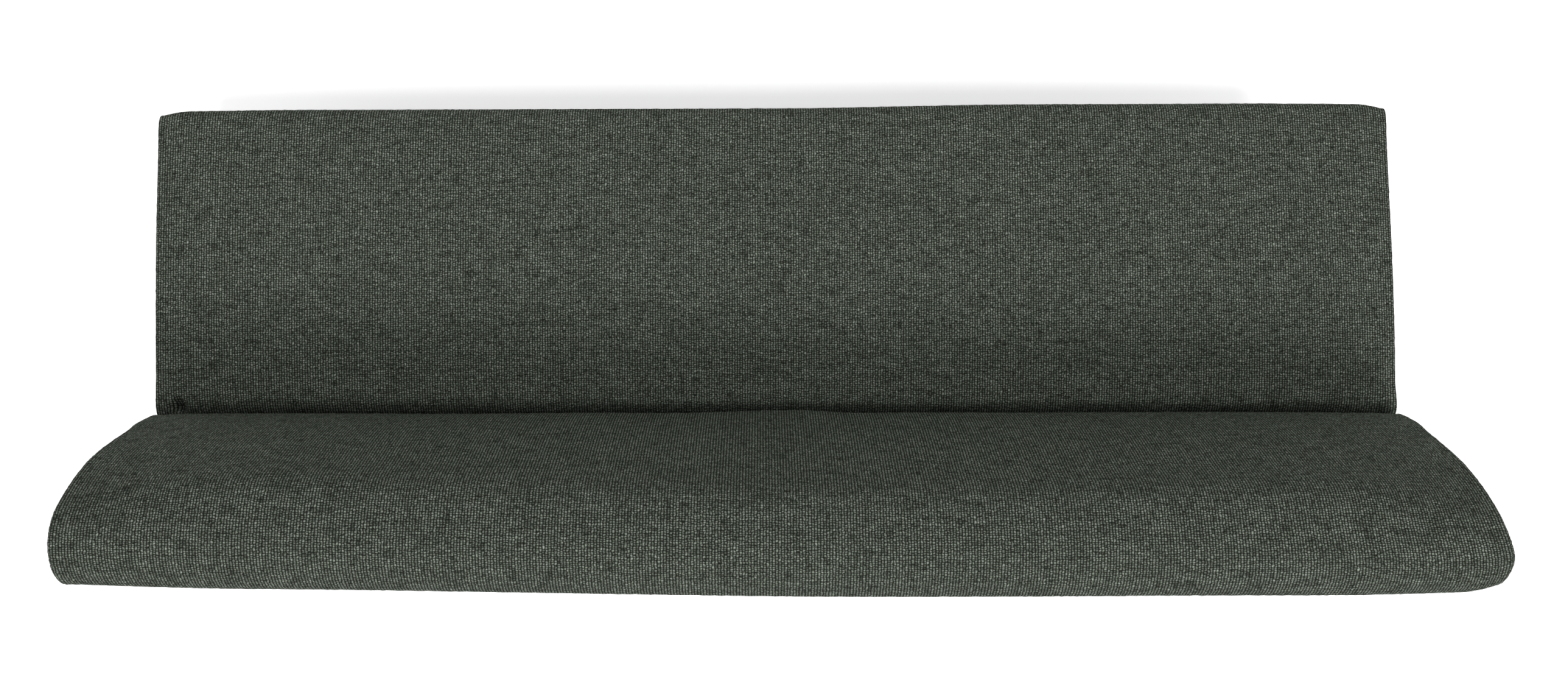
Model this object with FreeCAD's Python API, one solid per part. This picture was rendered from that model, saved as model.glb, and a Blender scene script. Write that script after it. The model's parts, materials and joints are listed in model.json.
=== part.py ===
import FreeCAD, Part
import math
import os

from FreeCAD import Vector

# Upholstered dining bench: a padded seat and a padded, leaning backrest on one timber frame,
# carried by four splayed steel legs.
# Millimetres, +Z up. X runs along the bench, the front faces -Y, and left is -X.
# The origin lies on the floor under the middle of the bench's outline.
# Depths are worked out from the parting plane, where the seat meets the backrest.

# Upholstered body
bench_width = 1800.0
seat_depth = 449.0
seat_thickness = 135.0
underside_height = 345.0
end_edge_radius = 12.0
end_draw_length = 220.0

# Seat cushion
seat_front_radius = 38.0
seat_rear_radius = 20.0
seat_crown_angle = 4.2
seat_end_drop = 10.0
seat_front_draw = 8.0

# Backrest cushion: tangent arcs up the front, over the top and down the back
parting_gap = 0.5
tuck_depth = 24.0
tuck_lean_angle = 20.0
tuck_radius = 25.0
bulge_radius = 60.0
front_lean_angle = 8.3
front_radius = 1470.0
front_turn_angle = 8.2
shoulder_radius = 480.0
shoulder_turn_angle = 19.0
top_roll_radius = 60.0
back_lean_angle = 12.0
back_end_draw = 3.0

# Layers, from the outside in
cover_thickness = 2.0
wadding_thickness = 6.0
border_foam_thickness = 12.0
rear_foam_thickness = 8.0
rear_board_thickness = 3.0
webbing_thickness = 1.5
felt_thickness = 3.0
dust_cover_thickness = 0.8
dust_cover_margin = 14.0
staple_margin = 16.0

# Timber frame
rail_height = 60.0
rail_thickness = 24.0
cross_rail_spacing = 580.0
upright_thickness = 24.0
upright_depth = 46.0
upright_top_cover = 46.0
back_rail_height = 60.0
back_rail_thickness = 22.0
lumbar_rail_rise = 30.0
rear_board_margin = 10.0
leg_block_height = 36.0
leg_block_length = 100.0

# Webbing
seat_strap_width = 60.0
seat_strap_pitch = 140.0
long_strap_count = 3
strap_end_margin = 4.0
back_strap_width = 60.0
back_strap_pitch = 155.0

# Legs
plate_length = 90.0
plate_width = 76.0
plate_thickness = 4.0
plate_corner_radius = 9.0
leg_radius = 15.0
leg_wall = 2.0
leg_splay_out = 34.0
front_leg_splay = 26.0
rear_leg_splay = 58.0
glide_flange_height = 4.0
glide_lip = 1.0
glide_chamfer = 1.0
glide_plug_length = 18.0
glide_plug_clearance = 0.3

# How finely the cushions are shaped
draw_steps = 2
inner_edge_steps = 2

# Levels and places that follow from the sizes above
half_width = bench_width / 2
seat_height = underside_height + seat_thickness
tuck_height = seat_height - tuck_depth
cover_bottom = underside_height + dust_cover_thickness
frame_bottom = cover_bottom + cover_thickness
frame_top = frame_bottom + rail_height
foam_inset = cover_thickness + wadding_thickness
frame_inset = foam_inset + border_foam_thickness
turn_under = frame_inset + staple_margin
frame_half = half_width - frame_inset
rail_inside = frame_half - rail_thickness
frame_front = -seat_depth + frame_inset
front_rail_inside = frame_front + rail_thickness
seat_rail_rear = -cover_thickness
seat_rail_front = seat_rail_rear - rail_thickness
seat_felt_bottom = frame_top + 2 * webbing_thickness
seat_foam_bottom = seat_felt_bottom + felt_thickness
end_flat_length = 1.5 * end_edge_radius
seam_x = half_width - end_edge_radius * (1 - math.cos(math.radians(45.0)))
beyond = bench_width


def block(x0, x1, y0, y1, z0, z1):
    """A box between two corners."""
    return Part.makeBox(x1 - x0, y1 - y0, z1 - z0, Vector(x0, y0, z0))


def rod(radius, start, end):
    """A round bar from one point to another."""
    axis = end - start
    return Part.makeCylinder(radius, axis.Length, start, axis)


def board(points, x0, x1):
    """A flat board from x0 to x1 whose outline is a polygon of (y, z) points."""
    corners = [Vector(x0, y, z) for y, z in points]
    return Part.Face(Part.makePolygon(corners + corners[:1])).extrude(Vector(x1 - x0, 0, 0))


def mirrored(shape):
    """The same piece at the other end of the bench."""
    return shape.mirror(Vector(0, 0, 0), Vector(1, 0, 0))


def cut_all(shape, tools):
    for tool in tools:
        shape = shape.cut(tool)
    return shape


# Cushion outlines are paths in the YZ plane, with the filling on the right of the way they run.


class Outline:
    """A path of lines and tangent arcs, laid a given inset inside the cushion's outer face.

    The heading is the lean from straight up towards the rear, in degrees."""

    def __init__(self, y, z, inset):
        self.here = Vector(0, y + inset, z)
        self.heading = 0.0
        self.inset = inset
        self.centre = None
        self.edges = []

    def line(self, length):
        lean = math.radians(self.heading)
        end = self.here + Vector(0, math.sin(lean), math.cos(lean)) * length
        self.edges.append(Part.LineSegment(self.here, end).toShape())
        self.here = end

    def arc(self, radius, turn):
        """Bends towards the filling by turn degrees, or away from it where turn is negative."""
        side = math.copysign(1.0, turn)
        bend = side * radius - self.inset
        lean = math.radians(self.heading)
        centre = self.here + Vector(0, math.cos(lean), -math.sin(lean)) * bend

        def point(share):
            angle = lean + math.radians(turn) * share
            return centre + Vector(0, -math.cos(angle), math.sin(angle)) * bend

        end = point(1.0)
        self.edges.append(Part.Arc(self.here, point(0.5), end).toShape())
        self.here = end
        self.heading += turn
        self.centre = centre

    def wire(self, x):
        """The closed section at x."""
        start = self.edges[0].Vertexes[0].Point
        base = Part.LineSegment(self.here, start).toShape()
        section = Part.Wire(self.edges + [base])
        section.translate(Vector(x, 0, 0))
        return section


def seat_outline(inset, draw, bottom):
    """Up the seat's front, over the crown and down the rear. draw runs from 0 to 1 at the ends."""
    front = -seat_depth + seat_front_draw * draw
    top = seat_height - seat_end_drop * draw
    crown = math.radians(seat_crown_angle)
    corners = (seat_front_radius + seat_rear_radius) * (1 - math.sin(crown))
    crown_radius = (-front - corners) / (2 * math.sin(crown))
    crown_rise = crown_radius * (1 - math.cos(crown))
    path = Outline(front, bottom, inset)
    path.line(top - crown_rise - seat_front_radius * math.cos(crown) - bottom)
    path.arc(seat_front_radius, 90.0 - seat_crown_angle)
    path.arc(crown_radius, 2 * seat_crown_angle)
    path.arc(seat_rear_radius, 90.0 - seat_crown_angle)
    path.line(path.here.z - bottom)
    return path


def back_outline(inset, draw, bottom):
    """Up the tuck, over the bulge, the front and the top roll, and down the leaning back."""
    drawn_in = back_end_draw * draw
    path = Outline(parting_gap - drawn_in, bottom, inset + drawn_in)
    path.line(tuck_height - bottom)
    path.arc(tuck_radius, -tuck_lean_angle)
    path.arc(bulge_radius, tuck_lean_angle + front_lean_angle)
    path.arc(front_radius, front_turn_angle)
    path.arc(shoulder_radius, shoulder_turn_angle)
    path.arc(top_roll_radius, 180.0 + back_lean_angle - path.heading)
    path.line((path.here.z - bottom) / math.cos(math.radians(back_lean_angle)))
    return path


def end_stations(inset, edge_steps):
    """Sections from one end to the level middle, as (x, extra inset, draw), for x above zero."""
    end = half_width - inset
    radius = end_edge_radius - inset
    stations = [(end, 0.0, 1.0)]
    if edge_steps:
        turns = [math.radians(90.0) * k / edge_steps for k in range(edge_steps)]
        stations = [(end - radius * (1 - math.cos(a)), radius * (1 - math.sin(a)), 1.0) for a in turns]
    for k in range(draw_steps + 1):
        share = k / draw_steps
        x = half_width - end_flat_length - (end_draw_length - end_flat_length) * share
        stations.append((x, 0.0, 1.0 - share * share * (3.0 - 2.0 * share)))
    return stations


def cushion(outline, inset, bottom, edge_steps=0):
    """A cushion that is level along its middle and drawn in towards both ends."""
    right = end_stations(inset, edge_steps)
    left = [(-x, extra, draw) for x, extra, draw in reversed(right)]
    wires = [outline(inset + extra, draw, bottom).wire(x) for x, extra, draw in right + left]
    return Part.makeLoft(wires, True, True)


def rounded_cushion(outline):
    """The outer face of a cushion, with its end edges rounded."""
    form = cushion(outline, 0.0, cover_bottom)
    rim = []
    for edge in form.Edges:
        ends = [vertex.Point for vertex in edge.Vertexes]
        at_end = all(math.isclose(abs(point.x), half_width) for point in ends)
        if at_end and max(point.z for point in ends) > frame_bottom:
            rim.append(edge)
    return form.makeFillet(end_edge_radius, rim).Solids[0]


# Slanted places in the backrest: depth is measured in from its outer back face, rise up along it

back_path = back_outline(0.0, 0.0, cover_bottom)
back_top = back_path.centre.z + top_roll_radius
back_rear = back_path.centre.y + top_roll_radius
lean_angle = math.radians(back_lean_angle)
back_foot = back_path.here.y + (frame_top - cover_bottom) * math.tan(lean_angle)
frame_rear = back_path.here.y - frame_inset
rear_rail_inside = frame_rear - rail_thickness
board_depth = foam_inset + rear_foam_thickness
upright_rear = board_depth + rear_board_thickness
upright_front = upright_rear + upright_depth
upright_top = back_top - upright_top_cover
post_rise = (upright_top - frame_top - upright_front * math.sin(lean_angle)) / math.cos(lean_angle)
webbing_front = upright_front + webbing_thickness


def slanted(depth, rise):
    """The (y, z) of a place in the leaning backrest."""
    y = back_foot - depth * math.cos(lean_angle) + rise * math.sin(lean_angle)
    z = frame_top + depth * math.sin(lean_angle) + rise * math.cos(lean_angle)
    return y, z


def slanted_block(x0, x1, depth0, depth1, rise0, rise1):
    """A box that leans with the backrest."""
    corners = [(depth0, rise0), (depth1, rise0), (depth1, rise1), (depth0, rise1)]
    return board([slanted(depth, rise) for depth, rise in corners], x0, x1)


# Base frame

cross_rail_inner_x = (cross_rail_spacing - rail_thickness) / 2
cross_rail_outer_x = cross_rail_inner_x + rail_thickness
outer_upright_x = rail_inside - upright_thickness


def base_rail(y0, y1):
    """A long rail across the bench."""
    return block(-frame_half, frame_half, y0, y1, frame_bottom, frame_top)


def depth_rail(x0):
    """A short rail from the front rail to the rear rail."""
    return block(x0, x0 + rail_thickness, front_rail_inside, rear_rail_inside, frame_bottom, frame_top)


def seat_rear_rail(x0, x1):
    """A stretch of the rail under the seat's rear edge, between two of the short rails."""
    return block(x0, x1, seat_rail_front, seat_rail_rear, frame_bottom, frame_top)


def upright(x0):
    """A back post, let in for the back rails.

    Its foot is housed between the base rails and its shoulder rests on the rear rail."""
    post_y = back_foot - upright_front / math.cos(lean_angle)
    shoulder_y = back_foot - upright_rear / math.cos(lean_angle)
    points = [
        (seat_rail_rear, frame_bottom),
        (seat_rail_rear, frame_top),
        (post_y, frame_top),
        slanted(upright_front, post_rise),
        slanted(upright_rear, post_rise),
        (shoulder_y, frame_top),
        (rear_rail_inside, frame_top),
        (rear_rail_inside, frame_bottom),
    ]
    return cut_all(board(points, x0, x0 + upright_thickness), [back_top_rail, back_lumbar_rail])


def back_rail(rise):
    """A rail let into the front edges of the uprights."""
    front_depth = upright_front - back_rail_thickness
    return slanted_block(-rail_inside, rail_inside, front_depth, upright_front, rise, rise + back_rail_height)


back_top_rail = back_rail(post_rise - back_rail_height)
back_lumbar_rail = back_rail(lumbar_rail_rise)


# Legs

plate_bottom = underside_height - plate_thickness
leg_x = outer_upright_x - leg_block_length / 2
front_leg_y = front_rail_inside + leg_block_length / 2
rear_leg_y = (seat_rail_rear + rear_rail_inside) / 2


def leg_block(outer_x, y0, y1):
    """A block in the frame's corner that the leg plate is screwed to."""
    inner_x = leg_x - leg_block_length / 2
    return block(inner_x, outer_x, y0, y1, cover_bottom, cover_bottom + leg_block_height)


def leg_plate(y):
    """The steel plate on top of a leg, with rounded corners."""
    x0 = leg_x - plate_length / 2
    y0 = y - plate_width / 2
    plate = block(x0, x0 + plate_length, y0, y0 + plate_width, plate_bottom, underside_height)
    corners = [edge for edge in plate.Edges if edge.BoundBox.ZLength > plate_thickness / 2]
    return plate.makeFillet(plate_corner_radius, corners)


def level_slice(shape, low, high):
    """What lies between two heights."""
    return shape.common(block(-beyond, beyond, -beyond, beyond, low, high))


def leg_tube(top, foot):
    """A splayed steel tube, cut level at the plate and at the glide."""
    overrun = (top - foot).normalize() * leg_radius
    outside = rod(leg_radius, foot - overrun, top + overrun)
    inside = rod(leg_radius - leg_wall, foot - overrun, top + overrun)
    return level_slice(outside, foot.z, top.z).cut(inside)


def leg_glide(top, foot):
    """A plastic foot: a chamfered disc on the floor and a plug inside the tube."""
    axis = (top - foot).normalize()
    disc_radius = leg_radius / axis.z + glide_lip
    disc = Part.makeCylinder(disc_radius, foot.z, Vector(foot.x, foot.y, 0))
    floor_edge = [edge for edge in disc.Edges if edge.BoundBox.ZMax < foot.z / 2]
    disc = disc.makeChamfer(glide_chamfer, floor_edge)
    plug_radius = leg_radius - leg_wall - glide_plug_clearance
    plug = rod(plug_radius, foot - axis * leg_radius, foot + axis * glide_plug_length)
    return disc.fuse(level_slice(plug, foot.z, top.z)).removeSplitter()


# Padding and covers


def open_shell(outer, inner, front, rear):
    """A skin between two cushion forms, open to the frame between the depths front and rear."""
    return outer.cut(inner).cut(block(-frame_half, frame_half, front, rear, 0, frame_top))


def turned_under(shell, front, rear):
    """Opens the bottom of a cover, leaving the margin that is stapled under the rails."""
    side = half_width - turn_under
    return shell.cut(block(-side, side, front, rear, 0, frame_bottom + cover_thickness))


def seat_cover():
    shell = open_shell(
        rounded_cushion(seat_outline),
        cushion(seat_outline, cover_thickness, frame_bottom, inner_edge_steps),
        -2 * cover_thickness, parting_gap)
    return turned_under(shell, -seat_depth + turn_under, parting_gap)


def back_cover():
    shell = open_shell(
        rounded_cushion(back_outline),
        cushion(back_outline, cover_thickness, frame_bottom, inner_edge_steps),
        0.0, parting_gap + 2 * cover_thickness)
    return turned_under(shell, 0.0, back_path.here.y - turn_under)


def panels(cover):
    """A cover's long panel and its two end panels, parted at the seams along the end edges."""
    middle = block(-seam_x, seam_x, -beyond, beyond, 0, beyond)
    right_side = block(seam_x, beyond, -beyond, beyond, 0, beyond)
    right = cover.common(right_side)
    return cover.common(middle), mirrored(right), right


def seat_wadding():
    outer = cushion(seat_outline, cover_thickness, frame_bottom, inner_edge_steps)
    inner = cushion(seat_outline, foam_inset, cover_bottom)
    return open_shell(outer, inner, -foam_inset - cover_thickness, parting_gap)


def back_wadding():
    outer = cushion(back_outline, cover_thickness, frame_bottom, inner_edge_steps)
    inner = cushion(back_outline, foam_inset, cover_bottom)
    return open_shell(outer, inner, 0.0, parting_gap + foam_inset + cover_thickness)


def seat_foam():
    form = cushion(seat_outline, foam_inset, frame_bottom)
    return level_slice(form, seat_foam_bottom, beyond)


def seat_border_foam():
    """Foam round the front and the ends of the base frame, under the seat foam."""
    form = cushion(seat_outline, foam_inset, frame_bottom)
    frame = block(-frame_half, frame_half, frame_front, beyond, 0, beyond)
    return level_slice(form, frame_bottom, seat_foam_bottom).cut(frame)


def back_border_foam():
    """Foam round the rear and the ends of the base frame, under the backrest."""
    form = cushion(back_outline, foam_inset, frame_bottom)
    frame = block(-frame_half, frame_half, -beyond, frame_rear, 0, beyond)
    return level_slice(form, frame_bottom, frame_top).cut(frame)


def back_padding():
    """All the room for foam in the backrest, above the base frame."""
    return level_slice(cushion(back_outline, foam_inset, frame_bottom), frame_top, beyond)


def back_front_foam():
    """Foam in front of the back webbing, over the uprights' tops and round the ends."""
    behind = slanted_block(-frame_half, frame_half, -beyond, webbing_front, -beyond, post_rise)
    return back_padding().cut(behind)


def back_rear_foam():
    """A thin foam sheet over the rear board."""
    behind = slanted_block(-frame_half, frame_half, -beyond, board_depth, -beyond, post_rise)
    return back_padding().common(behind)


# Webbing


def strap_centres(width, pitch, span):
    """Evenly spaced places for straps across a span that is centred on zero."""
    count = int((span - width) / pitch) + 1
    return [pitch * (k - (count - 1) / 2) for k in range(count)]


def seat_straps():
    """Straps from the front rail to the seat's rear rail."""
    y0 = frame_front + strap_end_margin
    y1 = -foam_inset - strap_end_margin
    half = seat_strap_width / 2
    centres = strap_centres(seat_strap_width, seat_strap_pitch, 2 * rail_inside)
    return [block(x - half, x + half, y0, y1, frame_top, frame_top + webbing_thickness) for x in centres]


def long_straps():
    """Straps from end rail to end rail, over the others."""
    end = frame_half - strap_end_margin
    step = (seat_rail_front - front_rail_inside) / (long_strap_count + 1)
    half = seat_strap_width / 2
    centres = [front_rail_inside + step * (k + 1) for k in range(long_strap_count)]
    low = frame_top + webbing_thickness
    return [block(-end, end, y - half, y + half, low, seat_felt_bottom) for y in centres]


def back_straps():
    """Straps from the lumbar rail to the top rail."""
    half = back_strap_width / 2
    low = lumbar_rail_rise + strap_end_margin
    high = post_rise - strap_end_margin
    centres = strap_centres(back_strap_width, back_strap_pitch, 2 * rail_inside)
    return [slanted_block(x - half, x + half, upright_front, webbing_front, low, high) for x in centres]


def dust_cover():
    """Thin cloth over the underside."""
    side = half_width - dust_cover_margin
    front = -seat_depth + dust_cover_margin
    rear = back_path.here.y - dust_cover_margin
    return block(-side, side, front, rear, underside_height, cover_bottom)


# Assembly

parts = {}


def add_pair(name, right):
    """A piece for each end of the bench, under its own name."""
    parts[name.replace("SIDE", "right")] = right
    parts[name.replace("SIDE", "left")] = mirrored(right)


parts["base_front_rail"] = base_rail(frame_front, front_rail_inside)
parts["base_rear_rail"] = base_rail(rear_rail_inside, frame_rear)
add_pair("base_SIDE_end_rail", depth_rail(rail_inside))
add_pair("base_SIDE_cross_rail", depth_rail(cross_rail_inner_x))
add_pair("seat_rear_rail_SIDE", seat_rear_rail(cross_rail_outer_x, rail_inside))
parts["seat_rear_rail_middle"] = seat_rear_rail(-cross_rail_inner_x, cross_rail_inner_x)
add_pair("back_upright_SIDE_outer", upright(outer_upright_x))
add_pair("back_upright_SIDE_inner", upright(cross_rail_outer_x))
parts["back_top_rail"] = back_top_rail
parts["back_lumbar_rail"] = back_lumbar_rail

parts["seat_webbing_straps"] = seat_straps()
parts["seat_webbing_long_straps"] = long_straps()
parts["seat_felt_pad"] = block(
    -frame_half, frame_half, frame_front, -foam_inset, seat_felt_bottom, seat_foam_bottom)
parts["seat_foam"] = seat_foam()
parts["seat_border_foam"] = seat_border_foam()
parts["seat_wadding"] = seat_wadding()

parts["back_webbing_straps"] = back_straps()
parts["back_front_foam"] = back_front_foam()
parts["back_rear_board"] = slanted_block(
    -rail_inside, rail_inside, board_depth, upright_rear, rear_board_margin, post_rise - rear_board_margin)
parts["back_rear_foam"] = back_rear_foam()
parts["back_border_foam"] = back_border_foam()
parts["back_wadding"] = back_wadding()

for name, cover in (("seat", seat_cover()), ("back", back_cover())):
    long_panel, left_panel, right_panel = panels(cover)
    parts[name + "_cover_long_panel"] = long_panel
    parts[name + "_cover_left_end_panel"] = left_panel
    parts[name + "_cover_right_end_panel"] = right_panel
parts["dust_cover"] = dust_cover()

front_block = leg_block(rail_inside, front_rail_inside, front_rail_inside + leg_block_length)
rear_block = leg_block(outer_upright_x, seat_rail_rear, rear_rail_inside)
add_pair("leg_block_front_SIDE", front_block)
add_pair("leg_block_rear_SIDE", rear_block)
glides = []
for row, y, splay in (("front", front_leg_y, -front_leg_splay), ("rear", rear_leg_y, rear_leg_splay)):
    top = Vector(leg_x, y, plate_bottom)
    foot = Vector(leg_x + leg_splay_out, y + splay, glide_flange_height)
    add_pair("leg_plate_" + row + "_SIDE", leg_plate(y))
    add_pair("leg_" + row + "_SIDE", leg_tube(top, foot))
    glide = leg_glide(top, foot)
    glides += [glide, mirrored(glide)]
parts["leg_glides"] = glides

os.makedirs("parts", exist_ok=True)
centring = Vector(0, (seat_depth - back_rear) / 2, 0)
for name, shape in parts.items():
    solids = shape if isinstance(shape, list) else shape.Solids
    solid = solids[0] if len(solids) == 1 else Part.makeCompound(solids)
    solid.translate(centring)
    solid.exportStep("parts/" + name + ".step")
print(len(parts), "nodes; back top", round(back_top, 1), "depth", round(seat_depth + back_rear, 1))
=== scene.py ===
"""Dresses an upholstered dining bench: cushions in woven cloth, dust cover, fasteners, legs and studio."""

import json
import math

import bmesh
import bpy
import numpy as np
from bpy.props import FloatProperty, FloatVectorProperty, IntProperty, PointerProperty
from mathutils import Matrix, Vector

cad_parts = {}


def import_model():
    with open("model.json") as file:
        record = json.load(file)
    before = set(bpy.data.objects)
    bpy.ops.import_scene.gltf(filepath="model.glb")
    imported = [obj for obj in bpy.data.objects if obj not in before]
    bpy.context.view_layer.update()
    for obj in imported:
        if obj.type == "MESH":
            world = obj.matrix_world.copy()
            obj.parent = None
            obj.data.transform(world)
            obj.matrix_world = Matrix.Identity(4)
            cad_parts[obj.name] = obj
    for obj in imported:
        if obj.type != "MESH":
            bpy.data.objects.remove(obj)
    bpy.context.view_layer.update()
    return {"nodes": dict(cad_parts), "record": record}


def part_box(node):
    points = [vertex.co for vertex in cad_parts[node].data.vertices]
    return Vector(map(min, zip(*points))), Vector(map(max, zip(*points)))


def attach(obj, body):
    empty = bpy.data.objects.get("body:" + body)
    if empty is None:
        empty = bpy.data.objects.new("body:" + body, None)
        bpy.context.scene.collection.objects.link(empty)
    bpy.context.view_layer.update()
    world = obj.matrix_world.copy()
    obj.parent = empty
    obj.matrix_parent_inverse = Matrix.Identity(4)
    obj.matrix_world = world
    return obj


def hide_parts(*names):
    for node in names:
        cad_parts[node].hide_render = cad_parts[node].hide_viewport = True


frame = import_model()

bl_info = {
    "name": "Upholstered dining bench",
    "version": (1, 0, 0),
    "blender": (4, 5, 0),
    "location": "View3D > Sidebar > Bench",
    "description": "Builds the cushions, dust cover, fasteners, legs and studio of a padded bench",
    "category": "Object",
}

MM = 0.001
BODY = "root"
CLOTH_MAP = "cloth"
LEG_NAMES = ("front_left", "front_right", "rear_left", "rear_right")

SEAT_PANELS = ("seat_cover_long_panel", "seat_cover_left_end_panel", "seat_cover_right_end_panel")
SEAT_FILLING = ("seat_wadding", "seat_foam", "seat_border_foam", "seat_felt_pad")
BACK_PANELS = ("back_cover_long_panel", "back_cover_left_end_panel", "back_cover_right_end_panel")
BACK_FILLING = ("back_wadding", "back_front_foam", "back_rear_foam", "back_border_foam")


def linear(hex_colour):
    """An sRGB hex colour as linear red, green and blue."""
    shares = [int(hex_colour[k : k + 2], 16) / 255 for k in (1, 3, 5)]
    return tuple(s / 12.92 if s <= 0.04045 else ((s + 0.055) / 1.055) ** 2.4 for s in shares)


def length(label, about, millimetres):
    return FloatProperty(name=label, description=about, default=millimetres * MM, unit="LENGTH", precision=5)


def angle(label, about, degrees):
    return FloatProperty(name=label, description=about, default=math.radians(degrees), subtype="ANGLE")


def number(label, about, value):
    return FloatProperty(name=label, description=about, default=value)


def position(label, about, metres):
    return FloatVectorProperty(name=label, description=about, default=metres, subtype="XYZ")


def colour(label, about, hex_colour):
    return FloatVectorProperty(
        name=label, description=about, default=linear(hex_colour), subtype="COLOR", min=0.0, max=1.0
    )


# Settings


class CushionSettings(bpy.types.PropertyGroup):
    """What the two cushions share."""

    end_edge: length("End edge", "Radius of the edge between the long panel and an end panel", 12.0)
    soft_end_edge: length("Soft end edge", "Radius at the backrest's rounder top rear corners", 14.0)
    bottom_edge: length("Bottom edge", "Radius where the cover turns under the frame", 5.0)
    end_draw: length("End draw length", "How far from the ends the cushions begin to draw in", 220.0)
    seam_draw: length("Seam draw", "How far the end seams pull into the padding", 0.8)
    seam_groove: length("Seam groove", "Depth of the groove in the seam itself", 0.4)
    swell_limit: length("Swell limit", "The most that the padding may push the cloth out", 5.0)
    slack: length("Slack", "How far the cloth lies inside its outline before the padding fills it", 3.0)
    pressure: number("Padding pressure", "How hard the padding pushes the cloth out", 4.0)
    settle_frames: IntProperty(name="Settling steps", description="Steps of the cloth simulation", default=20)
    quad: length("Cloth quad", "Spacing of the cloth's simulated quads", 20.0)
    yarn_height: length("Yarn height", "How far single yarns stand out of the cloth", 0.4)


class SeatSettings(bpy.types.PropertyGroup):
    """The seat's section, seen from the end."""

    front_roll: length("Front roll", "Radius of the seat's front edge", 26.0)
    front_roll_end: length("Front roll end", "The same radius at the ends, where it is tightest", 12.0)
    rear_roll: length("Rear roll", "Radius where the seat dips down to the backrest", 34.0)
    rear_roll_end: length("Rear roll end", "The same radius at the ends, where it is tightest", 22.0)
    rear_reach: length("Rear reach", "How far the seat reaches under the backrest's bulge", 7.0)
    crown: angle("Crown", "Half of the angle that the crowned top turns through", 4.2)
    end_edge: length("End edge", "Radius of the edge between the top and an end panel", 8.0)
    end_drop: length("End drop", "How much lower the crown is at the ends", 2.0)
    front_draw: length("Front draw", "How far the front edge draws in at the ends", 3.0)
    front_skew: length("Front skew", "How much deeper the seat is at one end than at the other", 8.0)
    front_fullness: length("Front fullness", "How far the padding fills the front out at most", 9.0)
    end_taper: length("End taper", "How far one end draws in towards the front", 9.0)
    end_fullness: length("End fullness", "How far the padding fills the other end out", 3.5)
    tuck_edge: length("Tuck edge", "Radius of the end edge at the tuck, where it is tightest", 3.0)
    tuck_fullness: length("Tuck fullness", "How far the tapered end fills its corner at the tuck", 2.5)
    front_edge: length("Front edge", "Radius of the end edge down the front", 4.0)
    corner_draw: length("Corner draw", "How far the front corners draw in", 7.5)
    hollow_place: length("Hollow place", "Where along the bench the cloth dimples at the tuck", 866.0)
    hollow_depth: length("Hollow depth", "Depth of the dimple at the tuck", 26.0)
    hollow_size: length("Hollow size", "Radius of the dimple at the tuck", 9.0)


class BackSettings(bpy.types.PropertyGroup):
    """The backrest's section, as tangent arcs up the front, over the top and down the back."""

    tuck_depth: length("Tuck depth", "How far below the crown the backrest begins to swell forward", 38.6)
    tuck_lean: angle("Tuck lean", "How far the tuck turns forward", 30.9)
    tuck_radius: length("Tuck radius", "Radius of the hollow at the tuck", 25.0)
    bulge_radius: length("Bulge radius", "Radius of the bulge over the tuck", 60.0)
    front_lean: angle("Front lean", "Lean of the front just over the bulge", 8.3)
    front_radius: length("Front radius", "Radius of the long front curve", 1470.0)
    front_turn: angle("Front turn", "Angle that the long front curve turns through", 8.2)
    shoulder_radius: length("Shoulder radius", "Radius of the curve under the top roll", 480.0)
    shoulder_turn: angle("Shoulder turn", "Angle that the shoulder turns through", 19.0)
    top_roll: length("Top roll", "Radius of the rolled top", 60.0)
    back_lean: angle("Back lean", "Lean of the rear side", 12.0)
    end_draw: length("End draw", "How far the outline draws in at the ends", 3.0)
    parting_gap: length("Parting gap", "Gap between the seat and the backrest", 0.5)
    tuck_wave: length("Tuck wave", "Height of the slow waves along the tuck", 2.2)
    top_bow: length("Top bow", "How far the top bows towards the rear, and forward at one end", 7.5)
    end_fullness: length("End fullness", "How far the padding fills the top rear corner of one end out", 9.0)
    corner_draw: length("Corner draw", "How far that corner draws forward", 12.0)
    end_flat: length("End flat", "How far that end draws in below its corner", 2.0)
    shoulder_fullness: length("Shoulder fullness", "How far the padding fills the front of the top out", 12.0)
    tuck_draw: length("Tuck draw", "How far the front draws back at the ends of the tuck", 1.0)
    tuck_edge: length("Tuck edge", "Radius of the end edge down at the tuck, where it is tightest", 7.0)


class ClothSettings(bpy.types.PropertyGroup):
    """The upholstery cloth."""

    column: length("Column pitch", "Spacing of the knots along the bench", 3.7)
    row: length("Row pitch", "Spacing of the knots across the cloth", 3.1)
    relief: length("Relief", "Height of the knots over the gaps", 0.9)
    # The gap and shaded-yarn colours, and in part the pale one, are painted shade and highlight of the knots'
    # relief.
    gap: colour("Gap", "Colour in the gaps between the yarns", "#161914")
    shade: colour("Shaded yarn", "Colour of the yarn's flanks", "#3F433C")
    yarn: colour("Yarn", "Colour of most knots", "#71796E")
    pale: colour("Pale yarn", "Colour of the palest knots", "#A2A99E")
    warm: colour("Warm yarn", "Colour of the brownish yarns in the mix", "#544C45")


class UndersideSettings(bpy.types.PropertyGroup):
    """The dust cover and its staples."""

    quad: length("Quad", "Spacing of the dust cover's quads", 9.0)
    sag: length("Sag", "How far the dust cover sags between the rails", 4.0)
    pucker: length("Pucker", "How far the edge stands off between two staples", 0.5)
    staple_margin: length("Staple margin", "Distance of the staples from the dust cover's edge", 8.0)
    staple_pitch: length("Staple pitch", "Spacing of the staples", 45.0)
    staple_crown: length("Staple crown", "Length of a staple's crown", 10.0)
    staple_wire: length("Staple wire", "Width of the staple's wire", 1.2)
    cloth: colour("Dust cloth", "Colour of the dust cover", "#1B1B1C")


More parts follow.
